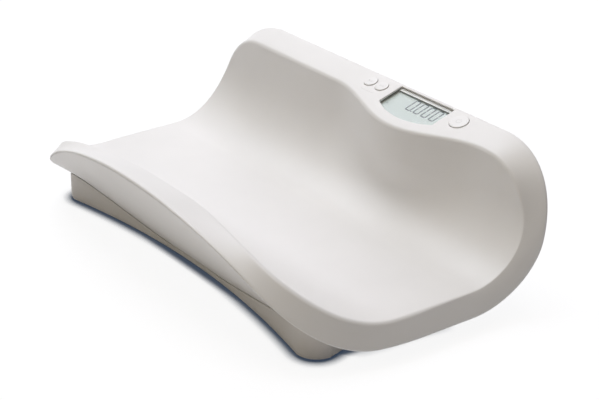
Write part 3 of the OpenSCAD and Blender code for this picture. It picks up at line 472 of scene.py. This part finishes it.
def cut(obj, cutters):
    """Takes cutters that lie apart from each other out of a piece, all in one pass."""
    cutter = join("cutter", cutters)
    mod = obj.modifiers.new("cut", "BOOLEAN")
    mod.operation = "DIFFERENCE"
    mod.solver = "EXACT"
    mod.object = cutter
    graph = bpy.context.evaluated_depsgraph_get()
    mesh = bpy.data.meshes.new_from_object(obj.evaluated_get(graph))
    old = obj.data
    obj.modifiers.clear()
    obj.data = mesh
    bpy.data.meshes.remove(old)
    bpy.data.objects.remove(cutter)
    return finish_mesh(obj, 1e-7)


def box_cutter(name, low, high):
    points = [(x, y, z) for x in (low[0], high[0]) for y in (low[1], high[1])
              for z in (low[2], high[2])]
    faces = [(0, 1, 3, 2), (4, 6, 7, 5), (0, 4, 5, 1), (2, 3, 7, 6), (0, 2, 6, 4), (1, 5, 7, 3)]
    return add_mesh(name, points, faces)


# ---- window outline ------------------------------------------------------------------

WINDOW_DEEP = WINDOW_SIDE + WINDOW_SAG
WINDOW_R = ((WINDOW_W / 2) ** 2 + WINDOW_SAG ** 2) / (2 * WINDOW_SAG)
BOW_STEPS, ROUND_STEPS, WINDOW_ROUND = 40, 6, 1.6


def window_outline(grow):
    """Straight back and sides, a front edge bowed towards the user, rounded corners."""
    hw, back = WINDOW_W / 2 + grow, grow
    r, bow_v = WINDOW_R + grow, WINDOW_R - WINDOW_DEEP
    fillet = max(0.2, WINDOW_ROUND + grow)
    cx = hw - fillet
    cy = bow_v - math.sqrt((r - fillet) ** 2 - cx ** 2)
    turn = 360 + math.degrees(math.atan2(cy - bow_v, -cx))
    arcs = [(cx, back - fillet, fillet, 0, 90, ROUND_STEPS),
            (-cx, back - fillet, fillet, 90, 180, ROUND_STEPS),
            (-cx, cy, fillet, 180, turn, ROUND_STEPS),
            (0, bow_v, r, turn, 540 - turn, BOW_STEPS),
            (cx, cy, fillet, 540 - turn, 360, ROUND_STEPS)]
    loop = []
    for x, y, radius, start, end, steps in arcs:
        for k in range(steps + 1):
            a = mix(start, end, k / steps)
            p = (x + radius * cos(a), y + radius * sin(a))
            if not loop or math.dist(p, loop[-1]) > 1e-4:
                loop.append(p)
    return loop


# ---- materials -----------------------------------------------------------------------

class Nodes:
    """A material's node tree, built one short call at a time."""

    def __init__(self, name, color, rough, metal=0.0, specular=0.5):
        self.mat = bpy.data.materials.new(name)
        self.mat.use_nodes = True
        self.tree = self.mat.node_tree
        self.shader = self.tree.nodes["Principled BSDF"]
        self.set("Base Color", (*color, 1))
        self.set("Roughness", rough)
        self.set("Metallic", metal)
        self.set("Specular IOR Level", specular)
        self.coord = self.tree.nodes.new("ShaderNodeTexCoord").outputs["Object"]

    def set(self, socket, value):
        self.shader.inputs[socket].default_value = value

    def link(self, a, b):
        self.tree.links.new(a, b)

    def noise(self, scale, detail=3.0, stretch=(1, 1, 1)):
        place = self.tree.nodes.new("ShaderNodeMapping")
        place.inputs["Scale"].default_value = stretch
        tex = self.tree.nodes.new("ShaderNodeTexNoise")
        tex.inputs["Scale"].default_value = scale
        tex.inputs["Detail"].default_value = detail
        self.link(self.coord, place.inputs["Vector"])
        self.link(place.outputs["Vector"], tex.inputs["Vector"])
        return tex.outputs["Fac"]

    def ramp(self, fac, low, high):
        """A colour between two, by a factor."""
        r = self.tree.nodes.new("ShaderNodeValToRGB")
        r.color_ramp.elements[0].position = 0.3
        r.color_ramp.elements[1].position = 0.7
        r.color_ramp.elements[0].color = (*low, 1)
        r.color_ramp.elements[1].color = (*high, 1)
        self.link(fac, r.inputs["Fac"])
        return r.outputs["Color"]

    def span(self, fac, low, high):
        """A number between two, by a factor."""
        m = self.tree.nodes.new("ShaderNodeMapRange")
        m.inputs["To Min"].default_value = low
        m.inputs["To Max"].default_value = high
        self.link(fac, m.inputs["Value"])
        return m.outputs["Result"]

    def bump(self, fac, strength, distance):
        b = self.tree.nodes.new("ShaderNodeBump")
        b.inputs["Strength"].default_value = strength
        b.inputs["Distance"].default_value = distance
        self.link(fac, b.inputs["Height"])
        self.link(b.outputs["Normal"], self.shader.inputs["Normal"])


def shade(color, factor):
    return tuple(min(1.0, c * factor) for c in color)


def moulded(name, color, rough, grain=5200.0, depth=0.00002, strength=0.12):
    """Moulded plastic: an even colour with a fine spark-eroded grain."""
    m = Nodes(name, color, rough)
    cloud = m.noise(14.0, 4.0)
    m.link(m.ramp(cloud, shade(color, 0.985), shade(color, 1.012)), m.shader.inputs["Base Color"])
    fine = m.noise(grain, 2.0)
    m.link(m.span(m.noise(60.0, 3.0), rough - 0.03, rough + 0.04), m.shader.inputs["Roughness"])
    m.bump(fine, strength, depth)
    return m.mat


def metal(name, color, rough, stretch=(1, 30, 1)):
    """Rolled or turned metal with fine lines along one way."""
    m = Nodes(name, color, rough, metal=1.0)
    lines = m.noise(160.0, 5.0, stretch)
    m.link(m.ramp(lines, shade(color, 0.88), shade(color, 1.08)), m.shader.inputs["Base Color"])
    m.link(m.span(lines, rough - 0.07, rough + 0.1), m.shader.inputs["Roughness"])
    m.bump(lines, 0.15, 0.00002)
    return m.mat


def rubber(name, color, rough=0.8):
    m = Nodes(name, color, rough, specular=0.3)
    dust = m.noise(45.0, 5.0)
    m.link(m.ramp(dust, shade(color, 0.9), shade(color, 1.12)), m.shader.inputs["Base Color"])
    m.link(m.span(m.noise(300.0), rough - 0.08, rough + 0.06), m.shader.inputs["Roughness"])
    m.bump(m.noise(2600.0, 2.0), 0.25, 0.00004)
    return m.mat


def see_through(name, color, alpha, rough):
    """A clear sheet that lets the light on to what lies under it."""
    m = Nodes(name, color, rough, specular=0.5)
    m.set("Alpha", alpha)
    m.link(m.span(m.noise(35.0, 3.0), rough - 0.02, rough + 0.03), m.shader.inputs["Roughness"])
    m.bump(m.noise(9.0, 1.0), 0.04, 0.0002)
    return m.mat


WHITE = (0.862, 0.848, 0.838)
MATERIALS = {
    "tray_white": lambda: moulded("tray_white", WHITE, 0.44),
    "belly_white": lambda: moulded("belly_white", shade(WHITE, 0.99), 0.5),
    # The base is the same white plastic as the tray: its colour is darkened and warmed to paint in
    # the shade that falls on it under the overhanging tray
    "base_white": lambda: moulded("base_white", (0.69, 0.667, 0.65), 0.55, 3800.0, 0.00003, 0.2),
    "key_white": lambda: moulded("key_white", (0.87, 0.86, 0.852), 0.36, 7000.0),
    "inner_white": lambda: moulded("inner_white", (0.80, 0.80, 0.78), 0.5),
    "lens_clear": lambda: see_through("lens_clear", (0.93, 0.96, 0.95), 0.05, 0.06),
    "lcd_glass": lambda: moulded("lcd_glass", (0.585, 0.665, 0.64), 0.3, 9000.0, 0.00001, 0.05),
    "lcd_ink": lambda: moulded("lcd_ink", (0.06, 0.08, 0.10), 0.4, 9000.0, 0.00001, 0.05),
    "strip_white": lambda: moulded("strip_white", (0.83, 0.84, 0.83), 0.4),
    "strip_ink": lambda: moulded("strip_ink", (0.10, 0.11, 0.115), 0.45),
    "print_grey": lambda: moulded("print_grey", (0.66, 0.65, 0.64), 0.5),
    "rubber_dark": lambda: rubber("rubber_dark", (0.035, 0.035, 0.038)),
    "foot_rubber": lambda: rubber("foot_rubber", (0.30, 0.285, 0.27)),
    "rubber_light": lambda: rubber("rubber_light", (0.62, 0.60, 0.56), 0.6),
    "board_green": lambda: moulded("board_green", (0.03, 0.16, 0.085), 0.35, 900.0, 0.00004, 0.3),
    "parts_dark": lambda: moulded("parts_dark", (0.03, 0.03, 0.033), 0.45),
    "steel": lambda: metal("steel", (0.56, 0.57, 0.58), 0.38),
    "screw_steel": lambda: metal("screw_steel", (0.6, 0.61, 0.63), 0.3, (1, 1, 12)),
    "alloy": lambda: metal("alloy", (0.7, 0.71, 0.72), 0.32, (1, 1, 25)),
    "contact": lambda: metal("contact", (0.72, 0.73, 0.75), 0.2, (1, 12, 1)),
    "cell_film": lambda: moulded("cell_film", (0.035, 0.07, 0.12), 0.3, 300.0, 0.00003, 0.1),
    "lead_grey": lambda: moulded("lead_grey", (0.5, 0.5, 0.48), 0.55, 900.0),
    "lead_red": lambda: moulded("lead_red", (0.32, 0.02, 0.015), 0.5, 900.0),
}
made = {}


def material(name):
    if name not in made:
        made[name] = MATERIALS[name]()
    return made[name]


def dress(obj, name):
    obj.data.materials.clear()
    obj.data.materials.append(material(name))
    return obj


# ---- tray ----------------------------------------------------------------------------

MOUTH_R, KEY_MOUTH_R = 0.7, 0.3
# The gap round a key, 0.25 wider than in the construction, so that it shows as a dark ring
KEY_GAP = 0.45
CUT_DEEP, CUT_ABOVE, CUT_SPARE = 9.0, 1.5, 0.02


def bore_cutter(x, d):
    """Cutter for a key's bore, with a small rounded mouth."""
    r = d / 2 + KEY_GAP
    m = KEY_MOUTH_R
    mouth = [(r + m * (1 - cos(90 * k / 4)), -m * (1 - sin(90 * k / 4))) for k in range(5)]
    profile = [(0, -CUT_DEEP), (r, -CUT_DEEP)] + mouth
    profile += [(r + m + CUT_SPARE, CUT_ABOVE), (0, CUT_ABOVE)]
    return on_ledge(revolve("bore", profile), x, KEY_V)


def window_cutter():
    m = MOUTH_R
    mouth = [(m * (1 - cos(90 * k / 4)), -m * (1 - sin(90 * k / 4))) for k in range(5)]
    levels = [(0.0, -CUT_DEEP)] + mouth + [(m + CUT_SPARE, CUT_ABOVE)]
    return on_ledge(prism("window_cutter", window_outline, levels), DISPLAY_X)


def boss(d, bore, low, high, deep):
    """A round boss that hangs from high down to low, with a blind bore in its end."""
    profile = [(0, high), (d / 2, high), (d / 2, low + 0.3), (d / 2 - 0.3, low), (bore / 2, low),
               (bore / 2, low + deep), (0, low + deep)]
    return revolve("boss", profile, 40)


def at(obj, x, y, z=0.0):
    obj.data.transform(Matrix.Translation(Vector((x, y, z)) * MM))
    return obj


def floor_z(y):
    """Height of the cradle's surface at a depth y, where nothing moves it."""
    s = -FLOOR_FRONT - y
    return LYING_H + (FRONT_R - math.sqrt(FRONT_R ** 2 - s ** 2) if s > 0 else 0)


def make_tray():
    tray = rings_to_piece("tray_skin", [tray_spoke(i) for i in range(COUNT)])
    cut(tray, [window_cutter()] + [bore_cutter(x, d) for x, d in KEYS.values()])
    half = SHELL_T / 2
    parts = [tray]
    parts += [at(boss(9.0, 3.2, FRAME_TOP, LYING_H - half, 4.8), x, y) for x, y in FRAME_SPOTS]
    parts += [at(boss(8.0, 3.2, POST_Z, floor_z(y) - half, 11.0), x, y) for x, y in CASE_SPOTS]
    parts += [on_ledge(boss(6.0, 2.2, BOARD_TOP, -half, 5.0), x, v) for x, v in BOARD_SPOTS]
    tray = join("tray_skin", parts)
    dress(tray, "tray_white")
    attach(tray, "tray")
    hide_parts("upper_shell")
    return tray


def make_belly():
    skin = rings_to_piece("belly_skin", [belly_spoke(i) for i in range(COUNT)])
    openings = [box_cutter("opening", (*low, 0), (*high, POST_Z)) for low, high in BELLY_OPENINGS]
    top, foot = POST_Z + 4, BELLY_H + 1
    way = [(0, 0), (HEAD_R, 0), (HEAD_R, HEAD_Z), (BORE_R, HEAD_Z), (BORE_R, top), (0, top)]
    post = [(HEAD_R, foot), (POST_R, foot), (POST_R, POST_Z), (BORE_R, POST_Z), (BORE_R, HEAD_Z),
            (HEAD_R, HEAD_Z), (HEAD_R, foot)]
    openings += [at(revolve("screw_way", way, 40), x, y) for x, y in CASE_SPOTS]
    cut(skin, openings)
    posts = [at(revolve("post", post, 40), x, y) for x, y in CASE_SPOTS]
    skin = join("belly_skin", [skin] + posts)
    dress(skin, "belly_white")
    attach(skin, "tray")
    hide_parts("lower_shell")
    return skin


# ---- base ----------------------------------------------------------------------------

WAIST_STEPS, CORNER_STEPS = 48, 14


def base_line(inset):
    """The base's outline: four corners, and four edges drawn in along an arc."""
    hx, back, front = BASE_W / 2 - inset, BASE_BACK - inset, BASE_FRONT - inset
    r = max(2.0, BASE_R - inset)
    my, hy = (back - front) / 2, (back + front) / 2
    u = [2 * k / WAIST_STEPS - 1 for k in range(WAIST_STEPS + 1)]
    turn = [90 * k / CORNER_STEPS for k in range(1, CORNER_STEPS)]
    loop = [(e * (hx - r), back - BASE_WAIST * (1 - e * e)) for e in u]
    loop += [(hx - r + r * sin(a), back - r + r * cos(a)) for a in turn]
    loop += [(hx - BASE_END_WAIST * (1 - e * e), my - e * (hy - r)) for e in u]
    loop += [(hx - r + r * cos(a), r - front - r * sin(a)) for a in turn]
    loop += [(-e * (hx - r), BASE_WAIST * (1 - e * e) - front) for e in u]
    loop += [(r - hx - r * sin(a), r - front - r * cos(a)) for a in turn]
    loop += [(BASE_END_WAIST * (1 - e * e) - hx, my + e * (hy - r)) for e in u]
    loop += [(r - hx - r * cos(a), back - r + r * sin(a)) for a in turn]
    return loop


def belly_tree():
    """The belly's outside, to find how high the base may rise under it."""
    shares = [k / BELLY_RINGS for k in range(BELLY_RINGS + 1)]
    points = [belly(i, t) for t in shares for i in range(COUNT)]
    faces = ring_faces(len(shares), COUNT)
    last = (len(shares) - 1) * COUNT
    faces.append(tuple(last + i for i in range(COUNT)))
    return BVHTree.FromPolygons(points, faces)


def make_base(belly_above):
    def top(p):
        hit = belly_above.ray_cast(Vector((p[0], p[1], -50.0)), Vector((0, 0, 1)))
        if hit[0] is None:
            return BELLY_H
        slope = abs(hit[1].normalized()[2])
        return hit[0][2] - WEIGH_GAP / max(0.35, slope)

    foot_r = 1.4
    floor = BASE_LIFT + BASE_FLOOR
    spokes = []
    lines = {d: base_line(d) for d in (foot_r, foot_r * 0.3, 0, 0.5, BASE_T - 0.4, BASE_T)}
    for i in range(len(lines[0])):
        o, n = lines[0][i], lines[BASE_T][i]
        rim, rim_in = top(o), top(n)
        low = lines[foot_r][i]
        spoke = [(0, 0, BASE_LIFT)]
        spoke += [(*low, BASE_LIFT), (*lines[foot_r * 0.3][i], BASE_LIFT + foot_r * 0.3)]
        spoke += [(*o, mix(BASE_LIFT + foot_r, rim - 0.5, k / 6)) for k in range(7)]
        spoke += [(*lines[0.5][i], rim), (*lines[BASE_T - 0.4][i], rim_in)]
        spoke += [(*n, rim_in - 0.4), (*n, floor)]
        spoke.append((0, 0, floor))
        spokes.append(spoke)
    base = rings_to_piece("base_skin", spokes)
    ways = [box_cutter("access", (*ACCESS[0], -5), (*ACCESS[1], 60))]
    top = 2 * floor
    socket = [(0, 0), (SOCKET_R, 0), (SOCKET_R, SOCKET_TOP), (PEG_WAY_R, SOCKET_TOP),
              (PEG_WAY_R, top), (0, top)]
    ways += [at(revolve("socket", socket, 64), x, y) for x, y in FEET]
    sink = [(0, 0), (PLATE_HEAD_R, 0), (PLATE_HEAD_R, BASE_LIFT),
            (PLATE_BORE_R, BASE_LIFT + 1.6), (PLATE_BORE_R, top), (0, top)]
    ways += [at(revolve("screw_way", sink, 40), x, y) for x, y in PLATE_SPOTS]
    cut(base, ways)
    # Its material is the white plastic darkened with painted shade
    dress(base, "base_white")
    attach(base, "base")
    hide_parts("base_shell")
    return base


FEET = [(sx * (BASE_W / 2 - FOOT_IN[0]), y) for sx in (-1, 1)
        for y in (BASE_BACK - FOOT_IN[1], FOOT_IN[1] - BASE_FRONT)]


def join(name, parts):
    """One mesh piece from several."""
    bm = bmesh.new()
    for part in parts:
        bm.from_mesh(part.data)
    mesh = bpy.data.meshes.new(name)
    bm.to_mesh(mesh)
    bm.free()
    for part in parts:
        bpy.data.objects.remove(part)
    obj = bpy.data.objects.new(name, mesh)
    bpy.context.scene.collection.objects.link(obj)
    return finish_mesh(obj)


def make_feet():
    r = FOOT_D / 2
    soft = [(r - 0.8 + 0.8 * sin(90 * k / 5), 0.8 - 0.8 * cos(90 * k / 5)) for k in range(6)]
    rings = [(0, 0.5), (r - 6.2, 0.5), (r - 6.0, 0.0), (r - 4.4, 0.0), (r - 4.2, 0.5),
             (r - 3.4, 0.5), (r - 3.2, 0.0)]
    peg = [(r, FOOT_TOP), (PEG_R, FOOT_TOP), (PEG_R, PEG_TOP), (0, PEG_TOP)]
    feet = []
    for x, y in FEET:
        foot = revolve("foot", rings + soft + peg)
        feet.append(at(foot, x, y))
    piece = dress(join("feet", feet), "foot_rubber")
    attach(piece, "base")
    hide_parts("rubber_feet")


# ---- keys and display ----------------------------------------------------------------

STEM_R, STEM_LOW = 2.0, -7.0
FLANGE_OUT, FLANGE_LOW, FLANGE_TOP = 1.1, -4.2, -3.2
KEY_EDGE_R, KEY_CROWN = 0.45, 0.25


def make_key(node, x, d):
    """A key cap with a shallow crown and a rounded edge, over its flange and stem."""
    r, top = d / 2, KEY_PROUD - KEY_CROWN
    flange_r, crown_r = r + FLANGE_OUT, r - KEY_EDGE_R
    profile = [(0, STEM_LOW), (STEM_R, STEM_LOW), (STEM_R, FLANGE_LOW), (flange_r, FLANGE_LOW),
               (flange_r, FLANGE_TOP), (r, FLANGE_TOP)]
    profile += [(r - KEY_EDGE_R * (1 - cos(90 * k / 6)), top - KEY_EDGE_R * (1 - sin(90 * k / 6)))
                for k in range(7)]
    profile += [(mix(crown_r, 0, k / 8), top + KEY_CROWN * (1 - (1 - k / 8) ** 2))
                for k in range(1, 9)]
    key = dress(on_ledge(revolve(node + "_cap", profile), x, KEY_V), "key_white")
    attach(key, node)
    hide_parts(node)
    return key


def flat_piece(name, shapes, low, high):
    """Thin raised shapes in the ledge's frame, each a loop of points."""
    points, faces = [], []
    for loop in shapes:
        n, start = len(loop), len(points)
        points += [(x, y, low) for x, y in loop] + [(x, y, high) for x, y in loop]
        faces.append(tuple(start + i for i in range(n)))
        faces.append(tuple(start + n + i for i in range(n)))
        faces += [(start + i, start + (i + 1) % n, start + n + (i + 1) % n, start + n + i)
                  for i in range(n)]
    return add_mesh(name, points, faces)


DIGIT_H, DIGIT_W, DIGIT_PITCH, STROKE = 17.6, 6.9, 12.1, 1.6
DIGITS_LEFT, DIGITS_FRONT, BAR_GAP = -11.0, -23.5, 0.12


def segment(a, b, w):
    """A bar with pointed ends from a to b."""
    (ax, ay), (bx, by) = a, b
    length = math.dist(a, b)
    ux, uy = (bx - ax) / length, (by - ay) / length
    h = w / 2
    (ax, ay), (bx, by) = ((ax + ux * BAR_GAP, ay + uy * BAR_GAP),
                          (bx - ux * BAR_GAP, by - uy * BAR_GAP))
    return [(ax, ay), (ax + ux * h - uy * h, ay + uy * h + ux * h),
            (bx - ux * h - uy * h, by - uy * h + ux * h), (bx, by),
            (bx - ux * h + uy * h, by - uy * h - ux * h),
            (ax + ux * h + uy * h, ay + uy * h - ux * h)]


def zero(x):
    """The six bars of a nought, with its left foot at x."""
    w, h = DIGIT_W, DIGIT_H / 2
    p = [(0, 0), (w, 0), (w, h), (w, 2 * h), (0, 2 * h), (0, h)]
    loops = [segment(p[k], p[(k + 1) % 6], STROKE) for k in range(6)]
    return [[(x + u, DIGITS_FRONT + v) for u, v in loop] for loop in loops]


# The liquid-crystal cell: its front and back edges, its thickness, its side margin and the
# gap under the lens
LCD_FRONT, LCD_BACK, LCD_T, LCD_MARGIN, LCD_GAP = -41.5, -2.2, 2.2, 0.25, 0.1
DOT_SIZE = 1.5


def make_display():
    face = -RECESS - LENS_T - LCD_GAP
    edge_x = WINDOW_W / 2 - LCD_MARGIN
    outline = [(-edge_x, LCD_FRONT), (edge_x, LCD_FRONT), (edge_x, LCD_BACK), (-edge_x, LCD_BACK)]
    lcd = flat_piece("lcd_face", [outline], face - LCD_T, face)
    on_ledge(dress(lcd, "lcd_glass"), DISPLAY_X)
    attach(lcd, "tray")
    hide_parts("lcd_cell")
    bars = []
    for k in range(4):
        bars += zero(DIGITS_LEFT + k * DIGIT_PITCH)
    dot = DIGITS_LEFT + DIGIT_W + 1.55
    bars.append([(dot, DIGITS_FRONT - 0.7), (dot + DOT_SIZE, DIGITS_FRONT - 0.7),
                 (dot + DOT_SIZE, DIGITS_FRONT + 0.7), (dot, DIGITS_FRONT + 0.7)])
    bars.append([(35.1, -7.2), (36.9, -7.2), (36.0, -5.4)])
    bars.append([(-38.6, -26.6), (-35.8, -26.6), (-36.2, -25.4), (-38.2, -25.4)])
    digits = flat_piece("digits", bars, face + 0.01, face + 0.06)
    on_ledge(dress(digits, "lcd_ink"), DISPLAY_X)
    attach(digits, "tray")


STRIP_FRONT, STRIP_BACK, TICKS = -5.0, -0.1, 65


def make_strip():
    """Printed strip along the window's back: bare, with a scale of fine ticks and a dark line."""
    half, low, high = WINDOW_W / 2 - 0.1, STRIP_FRONT, STRIP_BACK
    top = -RECESS + 0.06
    strip = flat_piece("strip", [[(-half, low + 0.9), (half, low + 0.9), (half, high),
                                  (-half, high)]], -RECESS + 0.01, top)
    on_ledge(dress(strip, "strip_white"), DISPLAY_X)
    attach(strip, "tray")
    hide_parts("print_strip")
    marks = [[(-half, low + 0.3), (half, low + 0.3), (half, low + 0.9), (-half, low + 0.9)]]
    for k in range(TICKS):
        x = mix(-half + 4, half - 4, k / (TICKS - 1))
        tall = 1.9 if k % 8 == 0 else 1.35 if k % 4 == 0 else 0.9
        marks.append([(x - 0.1, high - 2.9), (x + 0.1, high - 2.9),
                      (x + 0.1, high - 2.9 + tall), (x - 0.1, high - 2.9 + tall)])
    ink = flat_piece("strip_marks", marks, top - 0.02, top + 0.03)
    on_ledge(dress(ink, "strip_ink"), DISPLAY_X)
    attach(ink, "tray")


def arc_band(cx, cy, r, w, start, end, steps=40):
    """A curved line of width w as one loop."""
    out = [(cx + (r + w / 2) * cos(mix(start, end, k / steps)),
            cy + (r + w / 2) * sin(mix(start, end, k / steps))) for k in range(steps + 1)]
    back = [(cx + (r - w / 2) * cos(mix(end, start, k / steps)),
             cy + (r - w / 2) * sin(mix(end, start, k / steps))) for k in range(steps + 1)]
    return out + back


def bar(x, y, w, h):
    return [(x - w / 2, y - h / 2), (x + w / 2, y - h / 2), (x + w / 2, y + h / 2),
            (x - w / 2, y + h / 2)]


def make_prints():
    """Faint generic signs: the power sign, two plain marks, and a bracket under the two keys."""
    signs = [("power_sign", "key_power", POWER_X,
              [arc_band(0, 0, 3.0, 0.45, 122, 418), bar(0, 2.6, 0.45, 3.0)]),
             ("left_sign", "key_left", LEFT_X, [bar(-2.4, 0, 1.8, 1.8), bar(0.6, 0, 0.5, 2.6),
                                                bar(2.2, 0, 0.5, 2.6)]),
             ("right_sign", "key_right", RIGHT_X, [bar(-2.2, 0, 0.5, 2.6), bar(0, 0, 0.5, 2.6),
                                                   bar(2.2, 0, 0.5, 2.6)])]
    for name, body, x, loops in signs:
        piece = flat_piece(name, loops, KEY_PROUD - 0.3, KEY_PROUD + 0.02)
        on_ledge(dress(piece, "print_grey"), x, KEY_V)
        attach(piece, body)
    mid = (LEFT_X + RIGHT_X) / 2
    line = [bar(0, 0, 18.6, 0.3), bar(-9.3, 0.9, 0.3, 2.1), bar(9.3, 0.9, 0.3, 2.1)]
    piece = flat_piece("bracket_print", line, -0.02, 0.03)
    on_ledge(dress(piece, "print_grey"), mid, -27.0)
    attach(piece, "tray")


CARRIED = {
    "display_lens": "lens_clear", "lcd_holder": "inner_white", "zebra_strip": "rubber_dark",
    "main_board": "board_green", "board_parts": "parts_dark", "board_screws": "screw_steel",
    "buzzer": "parts_dark", "dome_left": "rubber_light", "dome_right": "rubber_light",
    "dome_power": "rubber_light", "tray_frame": "steel", "frame_screws": "screw_steel",
    "case_screws": "screw_steel", "load_cell": "alloy", "gauge_coating": "rubber_light",
    "cell_spacer": "steel", "cell_top_screws": "screw_steel", "cell_pedestal": "steel",
    "cell_base_screws": "screw_steel", "base_plate": "steel", "plate_screws": "screw_steel",
    "overload_stops": "rubber_dark", "battery_tub": "inner_white", "battery_door": "belly_white",
    "battery_cells": "cell_film", "battery_contacts": "contact", "cell_lead": "lead_grey",
    "battery_lead": "lead_red",
}


def dress_carried():
    for node, name in CARRIED.items():
        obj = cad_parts[node]
        if not obj.material_slots:
            obj.data.materials.append(material(name))
        for s in obj.material_slots:
            s.material = material(name)


# ---- stage ---------------------------------------------------------------------------

CAMERA = {"azimuth": 54.361, "elevation": 24.782, "distance": 1.675155, "roll": 0.134}
FOCAL_PX, CENTRE_PX, IMAGE_W = 1581.976, (-35.847, -7.331), 599
AIM = Vector((0, 0, 0.060))


def make_camera():
    a, e = CAMERA["azimuth"], CAMERA["elevation"]
    ahead = Vector((-sin(a) * cos(e), cos(a) * cos(e), -sin(e)))
    right = Vector((cos(a), sin(a), 0))
    up = right.cross(ahead)
    roll = CAMERA["roll"]
    turned = right * cos(roll) + up * sin(roll)
    over = up * cos(roll) - right * sin(roll)
    data = bpy.data.cameras.new("camera")
    data.sensor_width = 36.0
    data.lens = FOCAL_PX * data.sensor_width / IMAGE_W
    data.shift_x = -CENTRE_PX[0] / IMAGE_W
    data.shift_y = CENTRE_PX[1] / IMAGE_W
    cam = bpy.data.objects.new("camera", data)
    turn = Matrix((turned, over, -ahead)).transposed().to_4x4()
    cam.matrix_world = Matrix.Translation(AIM - ahead * CAMERA["distance"]) @ turn
    bpy.context.scene.collection.objects.link(cam)
    bpy.context.scene.camera = cam


def area_light(name, place, aim, size, power, color=(1, 1, 1)):
    data = bpy.data.lights.new(name, "AREA")
    data.shape = "RECTANGLE"
    data.size, data.size_y = size
    data.energy = power
    data.color = color
    light = bpy.data.objects.new(name, data)
    light.location = place
    light.rotation_euler = (Vector(aim) - Vector(place)).to_track_quat("-Z", "Y").to_euler()
    bpy.context.scene.collection.objects.link(light)


WORLD_LEVEL = 0.1
# Each lamp: its place, its size, its power and its colour
LAMPS = {
    "high_left": ((-1.0, 0.2, 2.2), (1.6, 1.6), 30.2, (0.82, 0.90, 1.0)),
    "overhead": ((0.0, 0.0, 2.4), (2.2, 1.6), 17.6, (1.0, 0.87, 0.72)),
    "back_left": ((-1.4, 1.4, 1.7), (1.6, 1.6), 12.5, (0.95, 0.91, 1.0)),
    "front": ((0.0, -2.2, 1.0), (1.6, 1.6), 4.3, (1.0, 0.80, 0.40)),
}
# Reach and colour of the painted contact shadow on the floor
PAINTED_SHADE_REACH, PAINTED_SHADE_COLOR = 0.014, (0.03, 0.05, 0.085)


def sees_backdrop(tree):
    """1 for the rays that show the plain white background, 0 for those that light the object."""
    path = tree.nodes.new("ShaderNodeLightPath")
    total = path.outputs["Is Camera Ray"]
    for ray in ("Is Glossy Ray", "Is Transmission Ray"):
        add = tree.nodes.new("ShaderNodeMath")
        add.operation = "MAXIMUM"
        tree.links.new(total, add.inputs[0])
        tree.links.new(path.outputs[ray], add.inputs[1])
        total = add.outputs["Value"]
    return total


def make_world():
    scene = bpy.context.scene
    scene.view_settings.view_transform = "Standard"
    world = bpy.data.worlds.new("studio")
    world.use_nodes = True
    scene.world = world
    tree = world.node_tree
    back = tree.nodes["Background"]
    back.inputs["Color"].default_value = (1, 1, 1, 1)
    back.inputs["Strength"].default_value = WORLD_LEVEL
    plain = tree.nodes.new("ShaderNodeBackground")
    plain.inputs["Color"].default_value = (1, 1, 1, 1)
    plain.inputs["Strength"].default_value = 1.0
    blend = tree.nodes.new("ShaderNodeMixShader")
    tree.links.new(sees_backdrop(tree), blend.inputs["Fac"])
    tree.links.new(back.outputs["Background"], blend.inputs[1])
    tree.links.new(plain.outputs["Background"], blend.inputs[2])
    tree.links.new(blend.outputs["Shader"], tree.nodes["World Output"].inputs["Surface"])


def make_floor():
    """A white floor, which shows the object's shadow, with a painted contact shadow: a dark line
    where it stands.
    """
    floor = add_mesh("floor", [(-4000, -4000, 0), (4000, -4000, 0), (4000, 4000, 0),
                               (-4000, 4000, 0)], [(0, 1, 2, 3)])
    m = Nodes("floor_white", (0.88, 0.88, 0.89), 0.9, specular=0.0)
    tree = m.tree
    # Painted contact shadow: ambient occlusion close to the object turns the floor's glow dark navy
    # for camera rays
    contact = tree.nodes.new("ShaderNodeAmbientOcclusion")
    contact.inputs["Distance"].default_value = PAINTED_SHADE_REACH
    contact.samples = 16
    painted_shade_tone = tree.nodes.new("ShaderNodeValToRGB")
    painted_shade_tone.color_ramp.elements[0].position = 0.55
    painted_shade_tone.color_ramp.elements[0].color = (*PAINTED_SHADE_COLOR, 1)
    painted_shade_tone.color_ramp.elements[1].position = 0.96
    painted_shade_tone.color_ramp.elements[1].color = (1, 1, 1, 1)
    glow = tree.nodes.new("ShaderNodeEmission")
    glow.inputs["Strength"].default_value = 0.9
    shadow = tree.nodes.new("ShaderNodeBsdfDiffuse")
    shadow.inputs["Color"].default_value = (0.15, 0.15, 0.16, 1)
    both = tree.nodes.new("ShaderNodeAddShader")
    pick = tree.nodes.new("ShaderNodeMixShader")
    tree.links.new(contact.outputs["AO"], painted_shade_tone.inputs["Fac"])
    tree.links.new(painted_shade_tone.outputs["Color"], glow.inputs["Color"])
    tree.links.new(shadow.outputs["BSDF"], both.inputs[0])
    tree.links.new(glow.outputs["Emission"], both.inputs[1])
    tree.links.new(sees_backdrop(tree), pick.inputs["Fac"])
    tree.links.new(m.shader.outputs["BSDF"], pick.inputs[1])
    tree.links.new(both.outputs["Shader"], pick.inputs[2])
    tree.links.new(pick.outputs["Shader"], tree.nodes["Material Output"].inputs["Surface"])
    floor.data.materials.append(m.mat)


def make_stage():
    make_world()
    make_floor()
    for name, (place, size, power, color) in LAMPS.items():
        area_light(name, place, (0, 0, 0.05), size, power, color)


make_camera()
make_tray()
make_belly()
make_base(belly_tree())
make_feet()
for key_node, (key_x, key_size) in KEYS.items():
    make_key(key_node, key_x, key_size)
make_display()
make_strip()
make_prints()
dress_carried()
make_stage()
